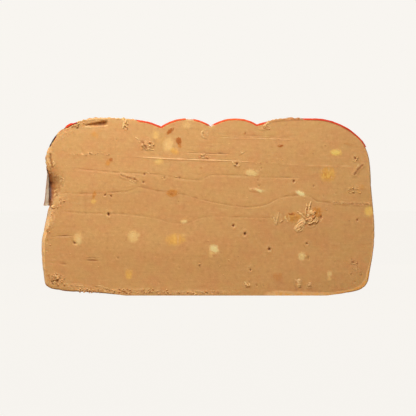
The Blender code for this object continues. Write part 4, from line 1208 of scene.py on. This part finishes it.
def drawn_in(y):
    """How far inside the outline the moulded skin lies at a place y along the loaf.

    It has the drawn-in rims, broad dents, fine pits, folds left by the film and the hollow behind the flap,
    and it swells out in a lip where a smear covers the film's edge.
    """
    across = np.full(RUN.shape, float(y))
    from_front = y - FRONT
    rim = np.maximum(by_bearing(RIM_INSET, BEARING) - from_front / RIM_SLOPE, back_inset(y))
    dents = 0.10 * (1 + lumpy(RUN, across, 14.0, 16.0, 31.0))
    dents += 0.05 * (1 + lumpy(RUN, across, 3.0, 5.0, 32.0))
    dents += (FLAP_HOLLOW - 0.7 * dents) * (flap_share(OUTLINE) * fade(from_front, *HOLLOW_END))
    folds = np.exp(-(lumpy(RUN, across, 9.0, 26.0, 33.0) / 0.05) ** 2)
    near_cut = fade(min(from_front, BACK - y), 2.4, 0.4)
    crumbly = 0.16 * (1 + lumpy(RUN, across, 0.9, 0.8, 34.0))
    crumbly += 0.10 * (1 + lumpy(RUN, across, 0.5, 0.6, 35.0))
    low = fade(OUTLINE[:, 1], 4.0, 1.0) * fade(OUTLINE[:, 0], 8.0, 0.0)
    flat = fade(from_front, 5.0, 1.0) * fade(OUTLINE[:, 1], 40.0, 56.0)
    worn = (dents + 0.12 * folds) * (1 - 0.85 * flat)
    worn = worn + near_cut * crumbly * (0.35 + 0.4 * low) * (1 - 0.8 * flat)
    lip = LIP_RISE * tucked(BEARING) * fade(from_front, LIP_DEPTH, 0.7 * LIP_DEPTH)
    lip = lip * (1 + 0.85 * lumpy(RUN, across, 1.3, 1.5, 36.0))
    return (np.maximum(rim, 0.0) + worn) * fade(OUTLINE[:, 1], 0.0, 0.7) - lip


def moulded_loaf():
    """The loaf before it is cut: its outline pulled along Y, drawn in at both rims."""
    stations = [FRONT + n for n in FRONT_STATIONS]
    stations += list(np.arange(FRONT + 12.0, BACK - 9.5, STATION_SPACING))
    stations += [BACK - n for n in BACK_STATIONS]
    bpy.ops.mesh.primitive_circle_add(vertices=len(OUTLINE), radius=0.05, fill_type="NGON")
    loaf = added("moulded_loaf")
    move_to(loaf, np.insert(OUTLINE, 1, 0.0, axis=1))
    edit_faces(loaf, [True])
    for _ in stations[1:]:
        bpy.ops.mesh.extrude_region_move(TRANSFORM_OT_translate={"value": (0, MM, 0)})
    finish_edit()
    places = places_of(loaf)
    row = np.round(places[:, 1]).astype(int)
    for number, y in enumerate(stations):
        members = np.flatnonzero(row == number)
        flat = places[members][:, (0, 2)]
        spot = np.array([int(np.argmin(((OUTLINE - p) ** 2).sum(axis=1))) for p in flat])
        drawn = drawn_in(y)
        flat = OUTLINE[spot] - OUTWARD[spot] * drawn[spot, None]
        places[members] = np.insert(flat, 1, y, axis=1)
    move_to(loaf, places)
    outward_faces(loaf)
    return loaf


def gianduja_block():
    block, loaf = cut_slab(), moulded_loaf()
    apply(block, "BOOLEAN", object=loaf, operation="INTERSECT", solver="MANIFOLD")
    bpy.data.objects.remove(loaf)
    block.name = block.data.name = "gianduja"
    merge_close(block, 0.002)
    smooth(block, 50)
    x, y, z = places_of(block).T
    painted = {name: np.zeros(len(x)) for name in ("pale", "dark", "torn", "nut", "tone")}
    painted["grain"] = z.copy()
    skin = np.ones(len(x))
    for side, plane, face in CUT_SIDES:
        near = side * (y - plane) > -CUT_REACH
        fields = face.fields(x[near], z[near])
        below = fields["height"] - side * (y[near] - plane)
        share = fade(below, 0.9, 0.05)
        for name in painted:
            painted[name][near] = fields[name] * (1 if name == "grain" else share)
        skin[near] = 1 - share
    inner, bearing = inside_by(x, z)
    inner -= rim_margin(bearing)
    from_front = y - FRONT
    at_front = fade(from_front, 4.0, 1.5)
    # The front rim's pale band: scraped paste, brightened further by a painted highlight where its bevel
    # would catch light.
    rim_pale_and_highlight = by_bearing(RIM_PALE_AND_HIGHLIGHT, bearing)
    lumps = lumpy(x, z, 1.0, 0.8, 71.0) + (0.3 + 0.7 * (x < -50)) * lumpy(x, z, 0.5, 0.45, 72.0)
    band = fade(inner / by_bearing(RIM_BAND, bearing), 1.0, 0.5) * at_front * (0.7 + 0.6 * lumps)
    painted["pale"] += band * rim_pale_and_highlight
    # Painted shadow that the film's edge casts on the rim.
    painted["dark"] += fade(inner, 0.8, 0.0) * at_front * by_bearing(FILM_EDGE_SHADOW, bearing)
    # Painted shadow of the loose flap on the paste beside it.
    flap_shadow = flap_share(np.stack((x, z), axis=1)) * fade(inner, 1.6, 0.8) * fade(from_front, 4.0, 2.5)
    painted["dark"] += 0.30 * flap_shadow
    rim = fade(np.minimum(from_front, BACK - y), 3.4, 0.6) * skin
    painted["torn"] = np.maximum(painted["torn"], 0.7 * rim * rim_pale_and_highlight)
    painted["pale"] = np.maximum(painted["pale"], 0.3 * rim)
    painted["grain"] *= MM
    write_attributes(block, skin=skin * (1 - 0.7 * rim), **painted)
    finished(block, GIANDUJA, "gianduja_block")


# ------------------------------------------------------------------ chips, torn scraps and crumbs

def on_cut(side, plane, face, x, z, out=0.0):
    """A place on a cut face, standing out from its broad waves."""
    return np.array((x, plane + side * (wave_at(x, z, face.seed) + out), z))


def on_relief(x, z, out):
    """Places that stand out from the front face's relief, in millimetres."""
    return np.stack((x, FRONT - FRONT_FACE.fields(x, z)["height"] - out, z), axis=1)


def nut_chip(number, nut, cut_side):
    """A broken lump of nut that the knife left flush."""
    x, z, wide, high, turn, tone, strength = nut
    half_wide, half_high = wide * 0.46, high * 0.46
    chip, places = unit_ball("nut_chip")
    facets, finer = lumps_in(places, 0.77, number), lumps_in(places, 0.25, number)
    places *= (1 + 0.34 * facets + 0.08 * finer)[:, None]
    u, out, v = places[:, 0] * half_wide, -places[:, 1] * 0.7, places[:, 2] * half_high
    reach = np.hypot(u / half_wide, v / half_high)
    flush = 0.10 + 0.04 * finer - 0.05 * reach
    across, up = turned(u, v, 0.0, 0.0, -turn)
    middle = on_cut(*cut_side, x, z)
    move_to(chip, middle + np.stack((across, cut_side[0] * np.minimum(out, flush), up), axis=1))
    write_attributes(chip, tone=tone + 0.16 * finer + 0.12 * facets,
                     core=fade(reach, 1.25, 0.65) * strength)
    outward_faces(chip)
    return chip


def chips():
    whole = joined("nut_chips", [
        nut_chip(number, nut, cut_side) for cut_side in CUT_SIDES
        for number, nut in enumerate(cut_side[2].nuts) if nut[6] >= CHIP_STRENGTH])
    smooth(whole, 40)
    finished(whole, CHIP)


def splinter(number, width, rise, line):
    """A ragged ridge of torn paste along a line, sharp on top and sunk into the face at its sides."""
    knots = knots_of(line, 6)
    run = run_along(knots)
    strip, places = unit_sheet("splinter", max(6, round(run[-1] / SPLINTER_STEP)), 6)
    share, off = places[:, 0] + 0.5, places[:, 1] * 2
    here = share * run[-1]
    centre = at_run(here, run, knots)
    along = at_run(here + 0.1, run, knots) - at_run(here - 0.1, run, knots)
    along = along / np.linalg.norm(along, axis=1)[:, None]
    ragged = lumpy(here, off, 0.7, 3.0, 50.0 + number)
    notched = lumpy(here, off, 0.45, 1.2, 150.0 + number)
    taper = np.sqrt(np.clip(1 - (2 * share - 1) ** 4, 0.04, 1))
    side = off * 0.72 * width * taper * (0.95 + 0.5 * ragged) + 0.12 * notched
    out = 0.85 * rise * taper * (1 - np.abs(off) ** 3) * (0.85 + 0.7 * notched) - 0.06
    move_to(strip, on_relief(centre[:, 0] - along[:, 1] * side, centre[:, 1] + along[:, 0] * side, out))
    # Painted shade on the splinter's side turned away from the light, and paleness that grows, as a painted
    # highlight, with its rise.
    lower = np.clip(-0.6 * along[:, 1] * np.sign(off) - 0.8 * along[:, 0] * np.sign(off), 0.1, 1.0)
    write_attributes(strip, groove=0.20 * lower * fade(np.abs(off), 0.4, 1.0),
                     bright=0.38 + rise + 0.6 * notched)
    apply(strip, "SOLIDIFY", thickness=SPLINTER_THICK * MM, offset=-1.0)
    outward_faces(strip)
    return strip


def flake(number, rise, outline):
    """A low lump of torn paste inside an outline."""
    lump, places = unit_ball("flake")
    edge = np.array(outline)
    centre = edge.mean(axis=0)
    spokes = edge - centre
    bearing = np.degrees(np.arctan2(spokes[:, 1], spokes[:, 0]))
    reach = np.interp(np.degrees(np.arctan2(places[:, 2], places[:, 0])), bearing,
                      np.linalg.norm(spokes, axis=1), period=360)
    swell = 1 + 0.22 * lumps_in(places, 0.5, number) + 0.1 * lumps_in(places, 0.22, number)
    x = centre[0] + places[:, 0] * reach * swell
    z = centre[1] + places[:, 2] * reach * swell
    axes = np.linalg.svd(spokes)[2]
    along, across = ((x - centre[0]) * axis[0] + (z - centre[1]) * axis[1] for axis in axes)
    crumpled = 0.85 + 1.3 * lumpy(along, across, 2.2, 0.42, 60.0 + number)
    crumpled += 0.3 * lumpy(x, z, 0.35, 0.35, 61.0)
    height = np.abs(places[:, 1])
    out = -np.sign(places[:, 1]) * height ** 0.7 * rise * np.where(places[:, 1] < 0, crumpled, 0.6)
    move_to(lump, on_relief(x, z, out))
    # Painted shade in the flake's creases and round its foot, and a painted highlight on its crumpled
    # peaks.
    write_attributes(lump, groove=0.32 * fade(crumpled, 0.75, 0.35) + 0.10 * fade(height, 0.45, 0.1),
                     bright=0.42 + 0.8 * crumpled)
    return lump


def torn_scraps():
    pieces = [splinter(number, *row) for number, row in enumerate(SPLINTERS)]
    pieces += [flake(number, *row) for number, row in enumerate(FLAKES)]
    whole = joined("torn_scraps", pieces)
    smooth(whole, 50)
    finished(whole, SCRAP)


def crumb_kind(number):
    """One of the crumbs from which all others are copied."""
    crumb, places = unit_ball("crumb", 2)
    swell = 1 + 0.5 * lumps_in(places, 0.71, number) + 0.22 * lumps_in(places, 0.29, number)
    move_to(crumb, places * swell[:, None])
    return crumb


def copied(kind):
    copy = kind.copy()
    copy.data = kind.data.copy()
    bpy.context.collection.objects.link(copy)
    return copy


def pulled_inside(x, z, margin):
    """A place moved towards the middle until it lies inside the outline by a margin."""
    inside, bearing = inside_by(np.array(x), np.array(z))
    short = max(0.0, margin + rim_margin(float(bearing)) - float(inside))
    reach = math.hypot(x - MIDDLE[0], z - MIDDLE[1])
    return x + (MIDDLE[0] - x) * short / reach, z + (MIDDLE[1] - z) * short / reach


def crumbs():
    chance = random.Random(11)
    kinds = [crumb_kind(number) for number in range(CRUMB_KINDS)]
    pieces = []
    for x, z, spread_x, spread_z, count, size in CRUMBS:
        for _ in range(count):
            crumb = copied(chance.choice(kinds))
            half = size * chance.uniform(0.3, 0.62)
            strewn = x + chance.uniform(-1, 1) * spread_x, z + chance.uniform(-1, 1) * spread_z
            at_x, at_z = pulled_inside(*strewn, 0.4 * half)
            turn = Matrix.Rotation(chance.uniform(0, math.tau), 3, "Y")
            turn = turn @ Matrix.Rotation(chance.uniform(0, 3), 3, "X")
            sizes = (half * chance.uniform(0.9, 1.6), half * 0.8, half)
            shape = (places_of(crumb) * sizes) @ np.array(turn).T
            shape += on_cut(*CUT_SIDES[0], at_x, at_z, 0.35 * half)
            shape[:, 2] += max(0.0, 0.05 - shape[:, 2].min())
            move_to(crumb, shape)
            # Crumbs are pale at random and paler along the foot, and some are a darker tone at random.
            write_attributes(crumb, bright=chance.uniform(0.1, 0.7) + 0.3 * (z < 3.0),
                             groove=chance.choice((0.0, 0.0, 0.3)))
            pieces.append(crumb)
    for _ in range(BACK_CRUMBS):
        low = chance.random() < 0.6
        x, z = chance.uniform(-58, 56), chance.uniform(0.5, 2.6) if low else chance.uniform(4, 64)
        half = chance.uniform(0.14, 0.34)
        x, z = pulled_inside(x, z, half)
        crumb = copied(chance.choice(kinds))
        shape = places_of(crumb) * (1.3 * half, 0.8 * half, half)
        move_to(crumb, shape + on_cut(*CUT_SIDES[1], x, z, 0.3 * half))
        write_attributes(crumb, bright=chance.uniform(0.2, 0.9), groove=0.0)
        pieces.append(crumb)
    for kind in kinds:
        bpy.data.objects.remove(kind)
    whole = joined("crumbs", pieces)
    smooth(whole, 60)
    finished(whole, SCRAP)


# ------------------------------------------------------------------ the film

def printed_film():
    covered = OUTLINE[:, 1] >= np.where(OUTLINE[:, 0] > 0, FILM_RIGHT_FOOT, FILM_LEFT_FOOT)
    points, normals, bearing = OUTLINE[covered][::-1], OUTWARD[covered][::-1], BEARING[covered][::-1]
    run = run_along(points)
    film, flat = unit_sheet("wrapper_film", len(points) - 1, FILM_ROWS - 1)
    column = np.round((flat[:, 0] + 0.5) * (len(points) - 1)).astype(int)
    x, z = points[column].T
    normal, u = normals[column], run[column]
    nothing = np.zeros(u.shape)

    # Its front edge is drawn back under the smears and at the nicks, and both edges are ragged.
    to_left = fade(x, -50.0, -40.0)
    nick = sum(within(x, low - 0.25, low + 0.25, high - 0.25, high + 0.25) * (0.3 + 0.7 * to_left)
               for low, high, _ in NICKS)
    nick_depth = sum(deep * (x > low - 1) * (x < high + 1) for low, high, deep in NICKS)
    ragged = lumpy(u, nothing, 1.4, 1.0, 41.0) + 0.5 * lumpy(u, nothing, 0.6, 1.0, 42.0)
    edge = FILM_EDGE + (FILM_TUCKED_EDGE - FILM_EDGE) * tucked(bearing)[column] + 1.6 * nick
    front = FRONT + edge + 0.10 * (1 + ragged)
    back = BACK - FILM_BACK_EDGE - 0.10 * (1 + ragged)
    y = front + (back - front) * (flat[:, 1] + 0.5) ** 1.25
    from_front = y - FRONT
    nicked = nick * fade(from_front, nick_depth + 1.0, 0.6 * nick_depth)

    # It clings to the block, curls down at the front edge, and its loose flap at the left bends away.
    raised = fade(np.abs(x + 54.0), 1.8, 0.8) * (z > 60.0)
    inset = np.maximum(back_inset(y), 0.0) * 0.3
    curl = FILM_CURL * (0.55 + 0.45 * to_left) + 0.45 * raised
    inset += curl * fade(from_front, 1.3, 0.0) * fade(z, 46.0, 52.0)
    crinkles = CRINKLE * (0.5 + 0.5 * lumpy(u, y, 6.0, 9.0, 43.0))
    crinkles += FOLD * np.exp(-(lumpy(u, y, 7.0, 22.0, 44.0) / 0.07) ** 2)
    crinkles += WRINKLE * lumpy(u, y, 1.6, 5.0, 45.0)
    down = np.clip((FLAP_TOP - z) / (FLAP_TOP - FILM_LEFT_FOOT), 0, 1) * (x < 0)
    forward = np.clip((FLAP_BACK - y) / (FLAP_BACK - FRONT), 0, 1)
    flare = down * (0.2 * forward ** 1.5 + FLAP_CURL * fade(from_front, 3.0, 0.0))
    flap = flap_share(points)[column]
    cling = FLAP_CLING * flap * fade(from_front, 0.8, 3.0)
    cling += FLAP_HOLLOW * flap * fade(from_front, *HOLLOW_END)
    out = FILM_OFF + np.clip(crinkles, 0.0, MOST_CRINKLE) + flare - inset - cling
    out += 0.4 * raised * fade(from_front, 9.0, 5.0) - 0.4 * nicked
    foot = fade(u, 2.5, 0.0) - fade(u, run[-1] - 2.5, run[-1])
    slip = foot * (0.5 * lumpy(y, nothing, 5.0, 1.0, 46.0) + 0.25 * lumpy(y, nothing, 1.6, 1.0, 47.0))
    move_to(film, np.stack((x + normal[:, 0] * out - normal[:, 1] * slip, y,
                            z + normal[:, 1] * out + normal[:, 0] * slip), axis=1))
    write_attributes(film, along=u, hem=fade(y - front, 0.5, 0.1), nick=nicked)

    topmost = max(film.data.polygons, key=lambda face: face.center.z)
    apply(film, "SOLIDIFY", thickness=FILM_THICK * MM, offset=-1.0 if topmost.normal.z > 0 else 1.0)
    outward_faces(film)
    facing = [v.normal.x * v.co.x + v.normal.z * (v.co.z - MIDDLE[1] * MM) for v in film.data.vertices]
    write_attributes(film, inside=np.array(facing) < 0)
    smooth(film, 60)
    finished(film, FILM, "printed_film")


# ------------------------------------------------------------------ floor, light and camera

# The camera stands where one pixel of a square picture covers PIXEL millimetres of the front cut face.
PIXEL = 0.39
FRAME_PIXELS = 416
LENS, SENSOR = 200.0, 36.0
VIEW_HEIGHT = 34.16
BACKGROUND, BOARD, WARM_AIR = colour(248, 245, 240), colour(158, 137, 110), (1.0, 0.82, 0.66, 1.0)
# The floor's side, in metres, and the share of it that the camera sees as plain background.
FLOOR_SIZE, FLOOR_GLOW = 60.0, 0.985
# Round lamps: name, place, what each points at, width and watts, with lengths in millimetres.
LAMPS = (
    ("key_light", (-66.0, -200.0, 290.0), (0.0, -23.0, 34.0), 195.0, 1.30),
    ("right_light", (420.0, 80.0, 60.0), (40.0, 0.0, 20.0), 340.0, 0.5),
    ("left_light", (-420.0, 80.0, 100.0), (-40.0, 0.0, 30.0), 300.0, 0.45),
    ("back_light", (80.0, 430.0, 150.0), (0.0, 23.0, 30.0), 460.0, 1.5),
)


def floor():
    bpy.ops.mesh.primitive_plane_add(size=FLOOR_SIZE)
    ground = added("floor")
    edit_all(ground)
    bpy.ops.mesh.subdivide(number_cuts=8)
    finish_edit()
    material = bpy.data.materials.new("pale_floor")
    nodes = Nodes(material)
    board = nodes.node("ShaderNodeBsdfDiffuse", None, {"Color": BOARD})
    glow = nodes.node("ShaderNodeEmission", None, {"Color": BACKGROUND, "Strength": 1.0})
    surface = nodes.for_camera(glow, board, FLOOR_GLOW)
    nodes.node("ShaderNodeOutputMaterial", None, {"Surface": surface})
    ground.data.materials.append(material)


def lamp(name, place, target, size, power):
    place, target = Vector(place) * MM, Vector(target) * MM
    bpy.ops.object.light_add(type="AREA", location=place)
    light = bpy.context.object
    light.name = name
    light.rotation_euler = (target - place).to_track_quat("-Z", "Y").to_euler()
    light.data.shape = "DISK"
    light.data.size = size * MM
    light.data.energy = power


def surroundings():
    world = bpy.data.worlds.new("studio")
    bpy.context.scene.world = world
    nodes = Nodes(world)
    shown = nodes.node("ShaderNodeBackground", None, {"Color": BACKGROUND, "Strength": 1.0})
    soft = nodes.node("ShaderNodeBackground", None, {"Color": WARM_AIR, "Strength": 0.12})
    nodes.node("ShaderNodeOutputWorld", None, {"Surface": nodes.for_camera(shown, soft)})


def camera():
    distance = FRAME_PIXELS * PIXEL / 2 / (SENSOR / 2 / LENS)
    place = (0, (FRONT - distance) * MM, VIEW_HEIGHT * MM)
    bpy.ops.object.camera_add(location=place, rotation=(math.pi / 2, 0, 0))
    view = bpy.context.object
    view.name = "camera"
    view.data.lens = LENS
    view.data.sensor_width = SENSOR
    bpy.context.scene.camera = view


def main():
    deselect()
    printed_film()
    chips()
    torn_scraps()
    crumbs()
    gianduja_block()
    deselect()
    floor()
    for row in LAMPS:
        lamp(*row)
    surroundings()
    camera()
    scene = bpy.context.scene
    scene.view_settings.view_transform = "Standard"
    scene.view_settings.look = "None"


main()
